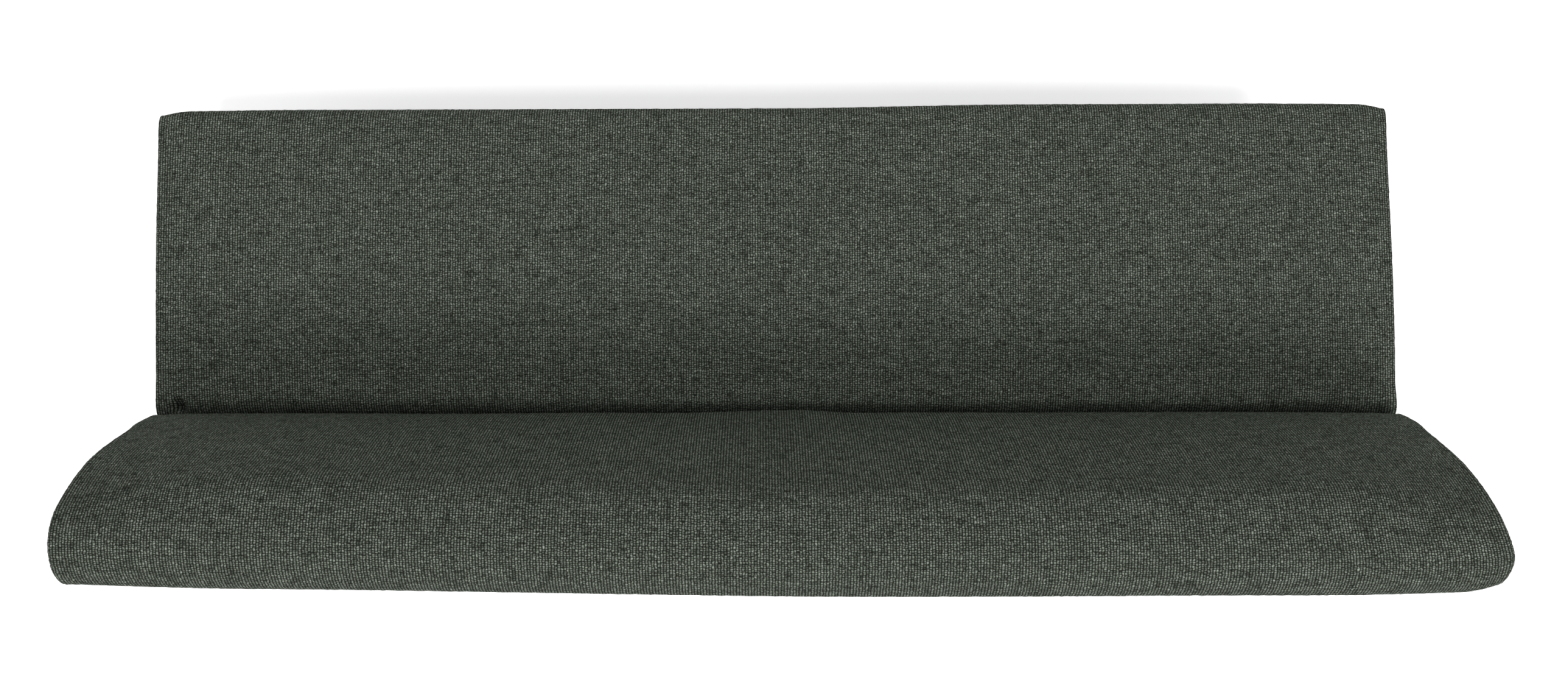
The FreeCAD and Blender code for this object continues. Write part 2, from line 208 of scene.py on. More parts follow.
class LegSettings(bpy.types.PropertyGroup):
    """The legs' finish and fasteners."""

    screw_inset: length("Screw inset", "Distance of the screws from the plate's edges", 12.0)
    screw_head: length("Screw head", "Radius of a screw's head", 4.6)
    screw_rise: length("Screw rise", "Height of a screw's head", 2.6)
    weld: length("Weld", "Size of the weld round the top of a leg", 3.5)
    coat: colour("Powder coat", "Colour of the legs", "#1D1E1F")
    glide: colour("Glide", "Colour of the plastic glides", "#2A2A2B")


class StudioSettings(bpy.types.PropertyGroup):
    """Camera, lights and floor."""

    camera_place: position("Camera place", "Where the camera hangs", (0.0255, 0.0857, 3.008))
    camera_turn: FloatVectorProperty(
        name="Camera turn",
        description="The camera's small tilts and its half turn, with the bench's front at the top",
        default=[math.radians(a) for a in (1.855, -0.717, 179.93)],
        subtype="EULER",
    )
    lens: number("Lens", "Focal length in millimetres on a 36 mm sensor", 40.16)
    key_place: position("Key place", "Where the key lamp hangs", (-2.0, 5.16, 8.4))
    key_size: length("Key size", "Width of the round key lamp", 2400.0)
    key: number("Key", "Power of the key lamp in watts", 345.0)
    top_place: position("Top place", "Where the top lamp hangs", (-3.5, 7.1, 30.0))
    top_size: length("Top size", "Width of the round top lamp", 2800.0)
    top: number("Top", "Power of the top lamp in watts", 1770.0)
    sky: number("Sky", "Strength of the light from all round", 0.6)
    floor_gain: number("Floor gain", "How bright the camera sees the floor, 1 for plain white", 1.85)
    floor: colour("Floor", "Colour of the floor", "#F2F2F2")


# Nodes and materials


def add(tree, kind, inputs=None, **settings):
    """Adds a node with its settings. An input given as a socket is linked, any other is set."""
    node = tree.nodes.new(kind)
    for name, value in settings.items():
        setattr(node, name, value)
    for key, value in (inputs or {}).items():
        if isinstance(value, bpy.types.NodeSocket):
            tree.links.new(value, node.inputs[key])
        else:
            node.inputs[key].default_value = value
    return node


def new_material(name):
    material = bpy.data.materials.new(name)
    material.use_nodes = True
    material.node_tree.nodes.clear()
    return material, material.node_tree


def finish_material(tree, colour_socket, height=None, relief=0.0, **constants):
    """Ends a material in a Principled shader, with bump from a height socket."""
    inputs = {"Base Color": colour_socket}
    if height is not None:
        bump = add(tree, "ShaderNodeBump", {"Height": height, "Distance": relief, "Strength": 1.0})
        inputs["Normal"] = bump.outputs["Normal"]
    for key, value in constants.items():
        inputs[key.replace("_", " ")] = value
    shader = add(tree, "ShaderNodeBsdfPrincipled", inputs)
    add(tree, "ShaderNodeOutputMaterial", {"Surface": shader.outputs["BSDF"]})


def ramp(tree, factor, stops):
    """A colour ramp with (place, colour) stops."""
    node = add(tree, "ShaderNodeValToRGB", {"Fac": factor})
    stretch = node.color_ramp.elements
    while len(stretch) < len(stops):
        stretch.new(1.0)
    for element, (place, tint) in zip(stretch, stops):
        element.position = place
        element.color = (*tint, 1.0)
    return node.outputs["Color"]


# Along the columns and rows of knots: how far yarns wander, and how fast each pattern changes per knot.
# A fast change makes neighbours differ, a slow one lets a tone run on along its yarn.
WANDER = (0.9, 1.6, 0.0)
SPACING_CHANGE = (7.31, 0.5, 0.0)
WEFT_CHANGE = (0.13, 5.3, 0.0)
WARP_CHANGE = (5.3, 0.16, 0.0)
UNEVEN_SPACING = 1.5
# How much of a knot's tone is chance, and the length of its loose fibres
KNOT_CHANCE = 0.5
FIBRE = 1.1 * MM


def upholstery_cloth(cloth):
    """Coarse basket weave of mixed wool yarn: pale knots over dark gaps, mottled along each thread. The dark
    gaps, the darker flanks and the pale crowns of the knots are painted shade and highlight of the weave's
    relief.
    """
    material, tree = new_material("Basket weave of mixed wool yarn")
    place = add(tree, "ShaderNodeUVMap", uv_map=CLOTH_MAP).outputs["UV"]
    threads = add(
        tree,
        "ShaderNodeVectorMath",
        {0: place, 1: (1.0 / cloth.column, 1.0 / cloth.row, 0.0)},
        operation="MULTIPLY",
    ).outputs["Vector"]
    # Yarns wander by up to about half of their spacing, over one or two knots.
    wander = add(tree, "ShaderNodeTexNoise", {"Vector": threads, "Scale": 0.7, "Detail": 2.0})
    loose = add(
        tree,
        "ShaderNodeVectorMath",
        {0: wander.outputs["Color"], 1: WANDER, 2: threads},
        operation="MULTIPLY_ADD",
    ).outputs["Vector"]
    # Knots are spaced unevenly along each column, and no two columns alike.
    apart = add(tree, "ShaderNodeSeparateXYZ", {"Vector": loose}).outputs
    column = add(tree, "ShaderNodeMath", {0: apart["X"]}, operation="FLOOR").outputs[0]
    lane = add(tree, "ShaderNodeCombineXYZ", {"X": column, "Y": apart["Y"]}).outputs["Vector"]
    spaced = add(
        tree, "ShaderNodeVectorMath", {0: lane, 1: SPACING_CHANGE}, operation="MULTIPLY"
    ).outputs["Vector"]
    pace = add(tree, "ShaderNodeTexNoise", {"Vector": spaced, "Scale": 1.0, "Detail": 1.0}).outputs["Fac"]
    shifted = add(
        tree, "ShaderNodeMath", {0: pace, 1: UNEVEN_SPACING, 2: apart["Y"]}, operation="MULTIPLY_ADD"
    ).outputs[0]
    woven = add(tree, "ShaderNodeCombineXYZ", {"X": apart["X"], "Y": shifted}).outputs["Vector"]
    cell = add(tree, "ShaderNodeVectorMath", {0: woven}, operation="FLOOR").outputs["Vector"]
    turned = add(
        tree, "ShaderNodeVectorMath", {0: woven, 1: (math.pi, math.pi, 0.0)}, operation="MULTIPLY"
    ).outputs["Vector"]
    swing = add(tree, "ShaderNodeVectorMath", {0: turned}, operation="SINE").outputs["Vector"]
    rise = add(tree, "ShaderNodeVectorMath", {0: swing}, operation="ABSOLUTE").outputs["Vector"]
    sides = add(tree, "ShaderNodeSeparateXYZ", {"Vector": rise}).outputs
    # Each knot is a rounded hump, a little narrower than its column. The hump also sets the colour below:
    # painted shade on its flanks and in the gaps, and a paler crown.
    across = add(tree, "ShaderNodeMath", {0: sides["X"], 1: 1.3}, operation="POWER").outputs[0]
    along = add(tree, "ShaderNodeMath", {0: sides["Y"], 1: 0.9}, operation="POWER").outputs[0]
    knot = add(tree, "ShaderNodeMath", {0: across, 1: along}, operation="MULTIPLY").outputs[0]
    chance = add(tree, "ShaderNodeTexWhiteNoise", {"Vector": cell}, noise_dimensions="2D").outputs["Value"]
    # Slubs: each row and each column of knots has its own slow change of tone.
    weft = add(
        tree, "ShaderNodeVectorMath", {0: cell, 1: WEFT_CHANGE}, operation="MULTIPLY"
    ).outputs["Vector"]
    warp = add(
        tree, "ShaderNodeVectorMath", {0: cell, 1: WARP_CHANGE}, operation="MULTIPLY"
    ).outputs["Vector"]
    weft_tone = add(tree, "ShaderNodeTexNoise", {"Vector": weft, "Scale": 1.0, "Detail": 1.0}).outputs["Fac"]
    warp_tone = add(tree, "ShaderNodeTexNoise", {"Vector": warp, "Scale": 1.0, "Detail": 1.0}).outputs["Fac"]
    tone = add(tree, "ShaderNodeMath", {0: weft_tone, 1: warp_tone}, operation="ADD").outputs[0]
    mixed = add(
        tree, "ShaderNodeMath", {0: chance, 1: KNOT_CHANCE, 2: tone}, operation="MULTIPLY_ADD"
    ).outputs[0]
    level = add(
        tree,
        "ShaderNodeMapRange",
        {"Value": mixed, "From Min": 0.75, "From Max": 1.75, "To Min": 0.3, "To Max": 1.15},
    ).outputs["Result"]
    # Loose fibres, about a millimetre long, roughen each knot.
    fuzz = add(
        tree, "ShaderNodeTexNoise", {"Vector": place, "Scale": 1 / FIBRE, "Detail": 1.0}
    ).outputs["Fac"]
    rough = add(tree, "ShaderNodeMath", {0: fuzz, 1: 0.9, 2: 0.55}, operation="MULTIPLY_ADD").outputs[0]
    # Painted shade and highlight: the knot's hump darkens the colour towards its flanks and the gaps and
    # lightens its crown, on top of the yarn's own tone and fibres.
    hump_shade_and_tone = add(tree, "ShaderNodeMath", {0: knot, 1: level}, operation="MULTIPLY").outputs[0]
    lit = add(tree, "ShaderNodeMath", {0: hump_shade_and_tone, 1: rough}, operation="MULTIPLY").outputs[0]
    stops = [(0.0, cloth.gap), (0.22, cloth.shade), (0.55, cloth.yarn), (0.95, cloth.pale)]
    yarn = ramp(tree, lit, stops)
    # Some of the yarns along the columns are brownish.
    warmth = add(
        tree,
        "ShaderNodeMapRange",
        {"Value": warp_tone, "From Min": 0.55, "From Max": 0.75, "To Min": 0.0, "To Max": 0.45},
    ).outputs["Result"]
    blend = add(
        tree,
        "ShaderNodeMix",
        {"Factor": warmth, "A": yarn, "B": (*cloth.warm, 1.0)},
        data_type="RGBA",
        blend_type="OVERLAY",
    )
    finish_material(
        tree,
        blend.outputs["Result"],
        height=lit,
        relief=cloth.relief,
        Roughness=0.92,
        Specular_IOR_Level=0.02,
    )
    return material


def dust_cloth(underside):
    """Spun-bonded polypropylene: thin black felt, pressed at small bond points."""
    material, tree = new_material("Spun-bonded polypropylene")
    place = add(tree, "ShaderNodeTexCoord").outputs["Object"]
    fibres = add(tree, "ShaderNodeTexNoise", {"Vector": place, "Scale": 1 / (1.2 * MM), "Detail": 4.0})
    # Bond points are 1.5 mm apart on the real cloth, and are drawn 3 mm apart so that they show.
    points = add(tree, "ShaderNodeTexVoronoi", {"Vector": place, "Scale": 1 / (3.0 * MM), "Randomness": 0.15})
    height = add(
        tree,
        "ShaderNodeMath",
        {0: fibres.outputs["Fac"], 1: 0.5, 2: points.outputs["Distance"]},
        operation="MULTIPLY_ADD",
    ).outputs[0]
    pale = tuple(1.9 * c for c in underside.cloth)
    tint = ramp(tree, fibres.outputs["Fac"], [(0.3, underside.cloth), (0.75, pale)])
    finish_material(tree, tint, height=height, relief=0.25 * MM, Roughness=0.8)
    return material


def powder_coat(legs):
    """Baked powder coat on steel: matt black with a fine orange-peel skin."""
    material, tree = new_material("Powder-coated steel")
    place = add(tree, "ShaderNodeTexCoord").outputs["Object"]
    peel = add(tree, "ShaderNodeTexNoise", {"Vector": place, "Scale": 1 / (1.6 * MM), "Detail": 3.0})
    scuffs = add(tree, "ShaderNodeTexNoise", {"Vector": place, "Scale": 1 / (45 * MM), "Detail": 5.0})
    worn = tuple(1.7 * c for c in legs.coat)
    tint = ramp(tree, scuffs.outputs["Fac"], [(0.45, legs.coat), (0.8, worn)])
    sheen = add(
        tree,
        "ShaderNodeMapRange",
        {"Value": scuffs.outputs["Fac"], "From Min": 0.3, "From Max": 0.75, "To Min": 0.42, "To Max": 0.58},
    )
    finish_material(
        tree, tint, height=peel.outputs["Fac"], relief=0.12 * MM, Roughness=sheen.outputs["Result"]
    )
    return material


def glide_plastic(legs):
    """Moulded polyethylene: dull, waxy and finely spark-textured."""
    material, tree = new_material("Moulded polyethylene")
    place = add(tree, "ShaderNodeTexCoord").outputs["Object"]
    grit = add(tree, "ShaderNodeTexNoise", {"Vector": place, "Scale": 1 / (0.8 * MM), "Detail": 2.0})
    dust = add(tree, "ShaderNodeTexNoise", {"Vector": place, "Scale": 1 / (9 * MM), "Detail": 4.0})
    pale = tuple(1.8 * c for c in legs.glide)
    tint = ramp(tree, dust.outputs["Fac"], [(0.4, legs.glide), (0.85, pale)])
    finish_material(tree, tint, height=grit.outputs["Fac"], relief=0.06 * MM, Roughness=0.6)
    return material


def bright_steel(name, hex_dark, hex_light, streak):
    """Drawn or plated steel wire and screws: bright, with fine draw marks."""
    material, tree = new_material(name)
    place = add(tree, "ShaderNodeTexCoord").outputs["Object"]
    marks = add(tree, "ShaderNodeTexNoise", {"Vector": place, "Scale": 1 / streak, "Detail": 4.0})
    tint = ramp(tree, marks.outputs["Fac"], [(0.3, linear(hex_dark)), (0.7, linear(hex_light))])
    sheen = add(
        tree,
        "ShaderNodeMapRange",
        {"Value": marks.outputs["Fac"], "From Min": 0.3, "From Max": 0.7, "To Min": 0.45, "To Max": 0.3},
    )
    finish_material(
        tree,
        tint,
        height=marks.outputs["Fac"],
        relief=0.03 * MM,
        Roughness=sheen.outputs["Result"],
        Metallic=1.0,
    )
    return material


def frame_timber():
    """Planed beech: pinkish tan with long grain lines and short dark flecks."""
    material, tree = new_material("Planed beech")
    place = add(tree, "ShaderNodeTexCoord").outputs["Object"]
    # Growth lines about 4 mm apart, drawn out along the board.
    along = add(tree, "ShaderNodeMapping", {"Vector": place, "Scale": (3.0, 250.0, 250.0)}).outputs["Vector"]
    grain = add(tree, "ShaderNodeTexNoise", {"Vector": along, "Scale": 1.0, "Detail": 6.0}).outputs["Fac"]
    flecks = add(tree, "ShaderNodeTexNoise", {"Vector": along, "Scale": 5.0, "Detail": 2.0}).outputs["Fac"]
    both = add(tree, "ShaderNodeMath", {0: flecks, 1: 0.35, 2: grain}, operation="MULTIPLY_ADD").outputs[0]
    stops = [(0.45, linear("#B58B61")), (0.7, linear("#C9A27A")), (0.9, linear("#D8B792"))]
    finish_material(tree, ramp(tree, both, stops), height=both, relief=0.1 * MM, Roughness=0.55)
    return material


def hardboard():
    """Pressed wood fibre: brown, mottled and smooth on one side."""
    material, tree = new_material("Hardboard")
    place = add(tree, "ShaderNodeTexCoord").outputs["Object"]
    fibres = add(tree, "ShaderNodeTexNoise", {"Vector": place, "Scale": 1 / (3 * MM), "Detail": 6.0})
    tint = ramp(tree, fibres.outputs["Fac"], [(0.3, linear("#5A3F29")), (0.7, linear("#80603F"))])
    finish_material(tree, tint, height=fibres.outputs["Fac"], relief=0.1 * MM, Roughness=0.6)
    return material


def webbing():
    """Woven elastic strap: dark ribs with pale rubber showing between them."""
    material, tree = new_material("Woven elastic webbing")
    place = add(tree, "ShaderNodeTexCoord").outputs["Object"]
    ribs = add(tree, "ShaderNodeTexWave", {"Vector": place, "Scale": 1 / (6.0 * MM), "Distortion": 0.4})
    tint = ramp(tree, ribs.outputs["Fac"], [(0.2, linear("#1E1E1E")), (0.8, linear("#3A3936"))])
    finish_material(tree, tint, height=ribs.outputs["Fac"], relief=0.4 * MM, Roughness=0.85)
    return material


def shown_rays(tree):
    """1 for rays that the camera sees, directly or in a reflection or through glass, and 0 for the rest."""
    path = add(tree, "ShaderNodeLightPath").outputs
    seen = {0: path["Is Camera Ray"], 1: path["Is Glossy Ray"]}
    mirrored = add(tree, "ShaderNodeMath", seen, operation="MAXIMUM").outputs[0]
    through = {0: mirrored, 1: path["Is Transmission Ray"]}
    return add(tree, "ShaderNodeMath", through, operation="MAXIMUM").outputs[0]


def studio_floor(studio):
    """Matt white paint.

    The camera sees it brighter than the bench does, so that only deep shadow shows on it."""
    material, tree = new_material("Matt white studio floor")
    level = add(
        tree,
        "ShaderNodeMapRange",
        {"Value": shown_rays(tree), "To Min": studio.floor[0], "To Max": studio.floor_gain},
    ).outputs["Result"]
    paint = add(tree, "ShaderNodeBsdfDiffuse", {"Color": level, "Roughness": 0.0})
    add(tree, "ShaderNodeOutputMaterial", {"Surface": paint.outputs["BSDF"]})
    return material


# Meshes


def new_object(name, mesh):
    made = bpy.data.objects.new(name, mesh)
    bpy.context.scene.collection.objects.link(made)
    return made


def mesh_object(name, points, faces, material):
    """An object with its place in its mesh, faces outwards and smooth."""
    mesh = bpy.data.meshes.new(name)
    mesh.from_pydata([tuple(p) for p in points], [], faces)
    mesh.materials.append(material)
    shell = bmesh.new()
    shell.from_mesh(mesh)
    bmesh.ops.recalc_face_normals(shell, faces=shell.faces)
    shell.to_mesh(mesh)
    shell.free()
    mesh.shade_smooth()
    return new_object(name, mesh)


def settled(made):
    """Makes an object's modifiers part of its mesh and removes them."""
    graph = bpy.context.evaluated_depsgraph_get()
    mesh = bpy.data.meshes.new_from_object(made.evaluated_get(graph), depsgraph=graph)
    made.modifiers.clear()
    made.data = mesh


def coordinates(mesh):
    flat = np.empty(len(mesh.vertices) * 3)
    mesh.vertices.foreach_get("co", flat)
    return flat.reshape(-1, 3)


def set_coordinates(mesh, points):
    mesh.vertices.foreach_set("co", np.asarray(points, dtype=float).ravel())
    mesh.update()


def vertex_normals(mesh):
    flat = np.empty(len(mesh.vertices) * 3)
    mesh.vertex_normals.foreach_get("vector", flat)
    return flat.reshape(-1, 3)


def smoothstep(values, low, high):
    """0 up to the low value, 1 from the high one on, and smooth between them."""
    share = np.clip((np.asarray(values, dtype=float) - low) / (high - low), 0.0, 1.0)
    return share * share * (3.0 - 2.0 * share)


def before(values, edge, reach):
    """0 until the first distance before the edge, 1 from the second on. Below 0 is past the edge."""
    begin, full = reach
    return smoothstep(values, edge - begin, edge - full)


def hump(values, middle, spread):
    """1 at the middle, falling away smoothly over the spread on both sides."""
    return np.exp(-(((values - middle) / spread) ** 2))


def rounding(values, end, reach):
    """0 up to the last stretch before the end, then ever steeper to 1 at the end."""
    return np.clip((values - end + reach) / reach, 0.0, 1.0) ** 2


class Outline:
    """A closed outline in the YZ plane of lines and tangent arcs, parted into four sides.

    The heading is the lean from straight up towards the rear. The filling is on the right."""

    def __init__(self, y, z, heading):
        self.here = np.array((y, z))
        self.heading = heading
        self.sides = [[self.here]]

    def line(self, distance):
        ahead = np.array((math.sin(self.heading), math.cos(self.heading)))
        self.here = self.here + distance * ahead
        self.sides[-1].append(self.here)

    def arc(self, radius, turn, steps=24):
        side = math.copysign(radius, turn)
        centre = self.here + side * np.array((math.cos(self.heading), -math.sin(self.heading)))
        for k in range(1, steps + 1):
            lean = self.heading + turn * k / steps
            self.sides[-1].append(centre + side * np.array((-math.cos(lean), math.sin(lean))))
        self.here = self.sides[-1][-1]
        self.heading += turn

    def next_side(self):
        self.sides.append([self.here])

    def ring(self, counts):
        """Evenly spaced points round each side, without the last, which is the next side's first."""
        rows = []
        for side, count in zip(self.sides, counts):
            points = np.array(side)
            steps = np.hypot(*np.diff(points, axis=0).T)
            along = np.concatenate(([0.0], np.cumsum(steps)))
            places = np.linspace(0.0, along[-1], count + 1)[:-1]
            rows.append(np.stack([np.interp(places, along, points[:, k]) for k in (0, 1)], axis=1))
        return np.concatenate(rows)


def ring_normals(ring):
    """Outward normals of a closed ring of (y, z) points."""
    tangent = np.roll(ring, -1, axis=0) - np.roll(ring, 1, axis=0)
    tangent /= np.linalg.norm(tangent, axis=1)[:, None]
    return np.stack((-tangent[:, 1], tangent[:, 0]), axis=1)


# Turns at which an end edge has its rings, and the one of these rings that is sewn
END_ANGLES = tuple(math.radians(a) for a in (0.0, 22.0, 45.0, 68.0, 90.0))
SEAM = 2
# Where the level rings begin, in end edge radii from the end
CLEAR_OF_EDGE = 1.5


def cushion_rings(section, half_width, radii, cushions):
    """Rings of points from the right end to the left, round both end edges.

    section gives the ring of (y, z) points for a draw between 0 and 1, radii the end edge's radius at
    each point of the ring."""
    end_ring = section(1.0)
    inward = -ring_normals(end_ring)
    caps = []
    for side in (1.0, -1.0):
        cap = []
        for turn in END_ANGLES:
            x = side * (half_width - radii * (1.0 - math.cos(turn)))
            yz = end_ring + inward * (radii * (1.0 - math.sin(turn)))[:, None]
            cap.append(np.column_stack((x, yz)))
        caps.append(cap)
    clear = half_width - CLEAR_OF_EDGE * radii.max()
    count = round(2.0 * clear / cushions.quad)
    stations = np.linspace(clear, -clear, count + 1)
    drawn = half_width - CLEAR_OF_EDGE * cushions.end_edge
    draws = smoothstep(np.abs(stations), half_width - cushions.end_draw, drawn)
    level = [np.column_stack((np.full(len(end_ring), x), section(d))) for x, d in zip(stations, draws)]
    return np.array(caps[0] + level + caps[1][::-1])


def end_panel(ring, counts):
    """The grid of points that fills a ring of four sides, as rows from the bottom to the top."""
    rise, run = counts[0], counts[1]
    corner = np.cumsum((0,) + counts)
    front = ring[corner[0] : corner[1] + 1]
    top = ring[corner[1] : corner[2] + 1]
    rear = ring[corner[2] : corner[3] + 1][::-1]
    bottom = np.concatenate((ring[corner[3] :], ring[:1]))[::-1]
    t = np.linspace(0.0, 1.0, rise + 1)[:, None, None]
    s = np.linspace(0.0, 1.0, run + 1)[None, :, None]
    sides = (1 - s) * front[:, None] + s * rear[:, None] + (1 - t) * bottom[None] + t * top[None]
    corners = (1 - s) * ((1 - t) * front[0] + t * front[-1]) + s * ((1 - t) * rear[0] + t * rear[-1])
    return sides - corners


def cushion_mesh(name, rings, counts, material):
    """A closed cushion of a long panel and two end panels, with each panel's cloth laid out flat as UVs."""
    count, around = rings.shape[:2]
    points = rings.reshape(-1, 3).tolist()
    index = np.arange(count * around).reshape(count, around)
    middle = rings[count // 2][:, 1:]
    steps = np.linalg.norm(np.roll(middle, -1, axis=0) - middle, axis=1)
    along = np.concatenate(([0.0], np.cumsum(steps)))
    faces, maps = [], []
    for i in range(count - 1):
        on_end = i < SEAM or i >= count - 1 - SEAM
        for j in range(around):
            after = (j + 1) % around
            quad = (index[i, j], index[i, after], index[i + 1, after], index[i + 1, j])
            faces.append(quad)
            if on_end:
                maps.append([points[k][1:] for k in quad])
            else:
                maps.append([(points[k][0], along[j + d]) for k, d in zip(quad, (0, 1, 1, 0))])
    rise, run = counts[0], counts[1]
    corner = np.cumsum((0,) + counts)
    for ring in (0, count - 1):
        grid = np.empty((rise + 1, run + 1), dtype=int)
        place = end_panel(rings[ring], counts)
        row = index[ring]
        grid[:, 0] = row[corner[0] : corner[1] + 1]
        grid[rise, :] = row[corner[1] : corner[2] + 1]
        grid[:, run] = row[corner[2] : corner[3] + 1][::-1]
        grid[0, :] = np.concatenate((row[corner[3] :], row[:1]))[::-1]
        for t in range(1, rise):
            for s in range(1, run):
                grid[t, s] = len(points)
                points.append(place[t, s].tolist())
        for t in range(rise):
            for s in range(run):
                quad = (grid[t, s], grid[t + 1, s], grid[t + 1, s + 1], grid[t, s + 1])
                quad = quad if ring else quad[::-1]
                faces.append(quad)
                maps.append([points[k][1:] for k in quad])
    mesh = bpy.data.meshes.new(name)
    mesh.from_pydata(points, [], [tuple(int(k) for k in quad) for quad in faces])
    layer = mesh.uv_layers.new(name=CLOTH_MAP)
    layer.data.foreach_set("uv", np.array(maps, dtype=float).ravel())
    mesh.materials.append(material)
    mesh.shade_smooth()
    return new_object(name, mesh)


EVENING_ROUNDS = 6
SEAM_CREASE = 0.6
SMOOTH_LEVELS = 2
YARN_SEED = 7


def padding_push(made, held, cushions):
    """How far the padding pushes each point of the cover out, by a cloth simulation under pressure."""
    rest = coordinates(made.data)
    group = made.vertex_groups.new(name="held")
    for k, weight in enumerate(held):
        if weight > 0.0:
            group.add([k], float(weight), "REPLACE")
    cloth = made.modifiers.new("Padding", "CLOTH")
    cloth.settings.quality = 6
    cloth.settings.mass = 0.3
    cloth.settings.tension_stiffness = 25.0
    cloth.settings.compression_stiffness = 25.0
    cloth.settings.bending_stiffness = 2.0
    cloth.settings.use_pressure = True
    cloth.settings.uniform_pressure_force = cushions.pressure
    cloth.settings.effector_weights.gravity = 0.0
    cloth.settings.vertex_group_mass = group.name
    cloth.point_cache.frame_start = 1
    cloth.point_cache.frame_end = cushions.settle_frames
    scene = bpy.context.scene
    for step in range(1, cushions.settle_frames + 1):
        scene.frame_set(step)
    graph = bpy.context.evaluated_depsgraph_get()
    moved = coordinates(made.evaluated_get(graph).data) - rest
    made.modifiers.clear()
    made.vertex_groups.clear()
    scene.frame_set(1)
    out = np.maximum((moved * vertex_normals(made.data)).sum(axis=1), 0.0)
    return evened(made.data, cushions.swell_limit * np.tanh(out / cushions.swell_limit), EVENING_ROUNDS)


def evened(mesh, values, rounds):
    """Evens out a value at each point by averaging it with its neighbours'."""
    ends = np.empty(len(mesh.edges) * 2, dtype=int)
    mesh.edges.foreach_get("vertices", ends)
    ends = np.concatenate((ends.reshape(-1, 2), ends.reshape(-1, 2)[:, ::-1]))
    share = 1.0 + np.bincount(ends[:, 0], minlength=len(values))
    for _ in range(rounds):
        values = (values + np.bincount(ends[:, 0], values[ends[:, 1]], len(values))) / share
    return values


def upholster(made, rings, free, settle, cushions):
    """Fills a cushion: the padding swells the cloth, the end seams pull in and the cloth settles.

    free is 1 where the ring's points are free to swell and 0 where the frame holds them."""
    count, around = rings.shape[:2]
    mesh = made.data
    rest = coordinates(mesh)
    loose = np.ones(len(rest))
    loose[: count * around] = np.tile(free, count)
    last = count - 1

    def on_rings(*numbers):
        return [ring * around + k for ring in numbers for k in range(around)]

    seams = on_rings(SEAM, last - SEAM)
    beside = on_rings(SEAM - 1, SEAM + 1, last - SEAM + 1, last - SEAM - 1)
    held = 1.0 - loose
    held[seams] = 1.0
    swell = padding_push(made, held, cushions) - cushions.slack
    swell[seams] = -cushions.seam_draw - cushions.seam_groove
    swell[beside] = -cushions.seam_draw
    set_coordinates(mesh, rest + vertex_normals(mesh) * (swell * loose)[:, None])
    crease = mesh.attributes.new("crease_edge", "FLOAT", "EDGE")
    seam_points = set(seams)
    for edge in mesh.edges:
        if edge.vertices[0] in seam_points and edge.vertices[1] in seam_points:
            crease.data[edge.index].value = SEAM_CREASE
    smooth = made.modifiers.new("Smooth", "SUBSURF")
    smooth.levels = smooth.render_levels = SMOOTH_LEVELS
    settled(made)
    set_coordinates(made.data, settle(coordinates(made.data)))
    # Single yarns stand out of the cloth, so the outline is a little rough.
    chance = np.random.default_rng(YARN_SEED)
    uneven = chance.normal(0.0, cushions.yarn_height / 2.0, len(made.data.vertices))
    set_coordinates(made.data, coordinates(made.data) + vertex_normals(made.data) * uneven[:, None])
    made.data.shade_smooth()


def seat_section(seat, cushions, counts):
    """Gives the seat's ring of points for a draw between 0 and 1."""
    low = min((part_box(name)[0] for name in SEAT_PANELS), key=lambda corner: corner.z)
    high = max((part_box(name)[1] for name in SEAT_PANELS), key=lambda corner: corner.z)
    rear, bottom, corner = high.y + seat.rear_reach, low.z, cushions.bottom_edge
    quarter = math.radians(90.0)
    eighth = quarter / 2.0

    def section(draw):
        front = low.y + seat.front_draw * draw
        top = high.z - seat.end_drop * draw
        front_roll = seat.front_roll + (seat.front_roll_end - seat.front_roll) * draw
        # The rear edge tightens only close to the ends.
        late = draw**6
        rear_roll = seat.rear_roll + (seat.rear_roll_end - seat.rear_roll) * late
        edges = (front_roll + rear_roll) * (1.0 - math.sin(seat.crown))
        crown_radius = (rear - front - edges) / (2.0 * math.sin(seat.crown))
        crown_foot = top - crown_radius * (1.0 - math.cos(seat.crown))
        roll = quarter - seat.crown
        start = corner * (1.0 - math.cos(eighth))
        path = Outline(front + start, bottom + start, -eighth)
        path.arc(corner, eighth)
        path.line(crown_foot - front_roll * math.cos(seat.crown) - bottom - corner)
        path.arc(front_roll, roll / 2.0)
        path.next_side()
        path.arc(front_roll, roll / 2.0)
        path.arc(crown_radius, 2.0 * seat.crown)
        path.arc(rear_roll, roll / 2.0)
        path.next_side()
        path.arc(rear_roll, roll / 2.0)
        path.line(crown_foot - rear_roll * math.cos(seat.crown) - bottom - corner)
        path.arc(corner, eighth)
        path.next_side()
        path.arc(corner, eighth)
        path.line(rear - front - 2.0 * corner)
        path.arc(corner, eighth)
        return path.ring(counts)

    return section


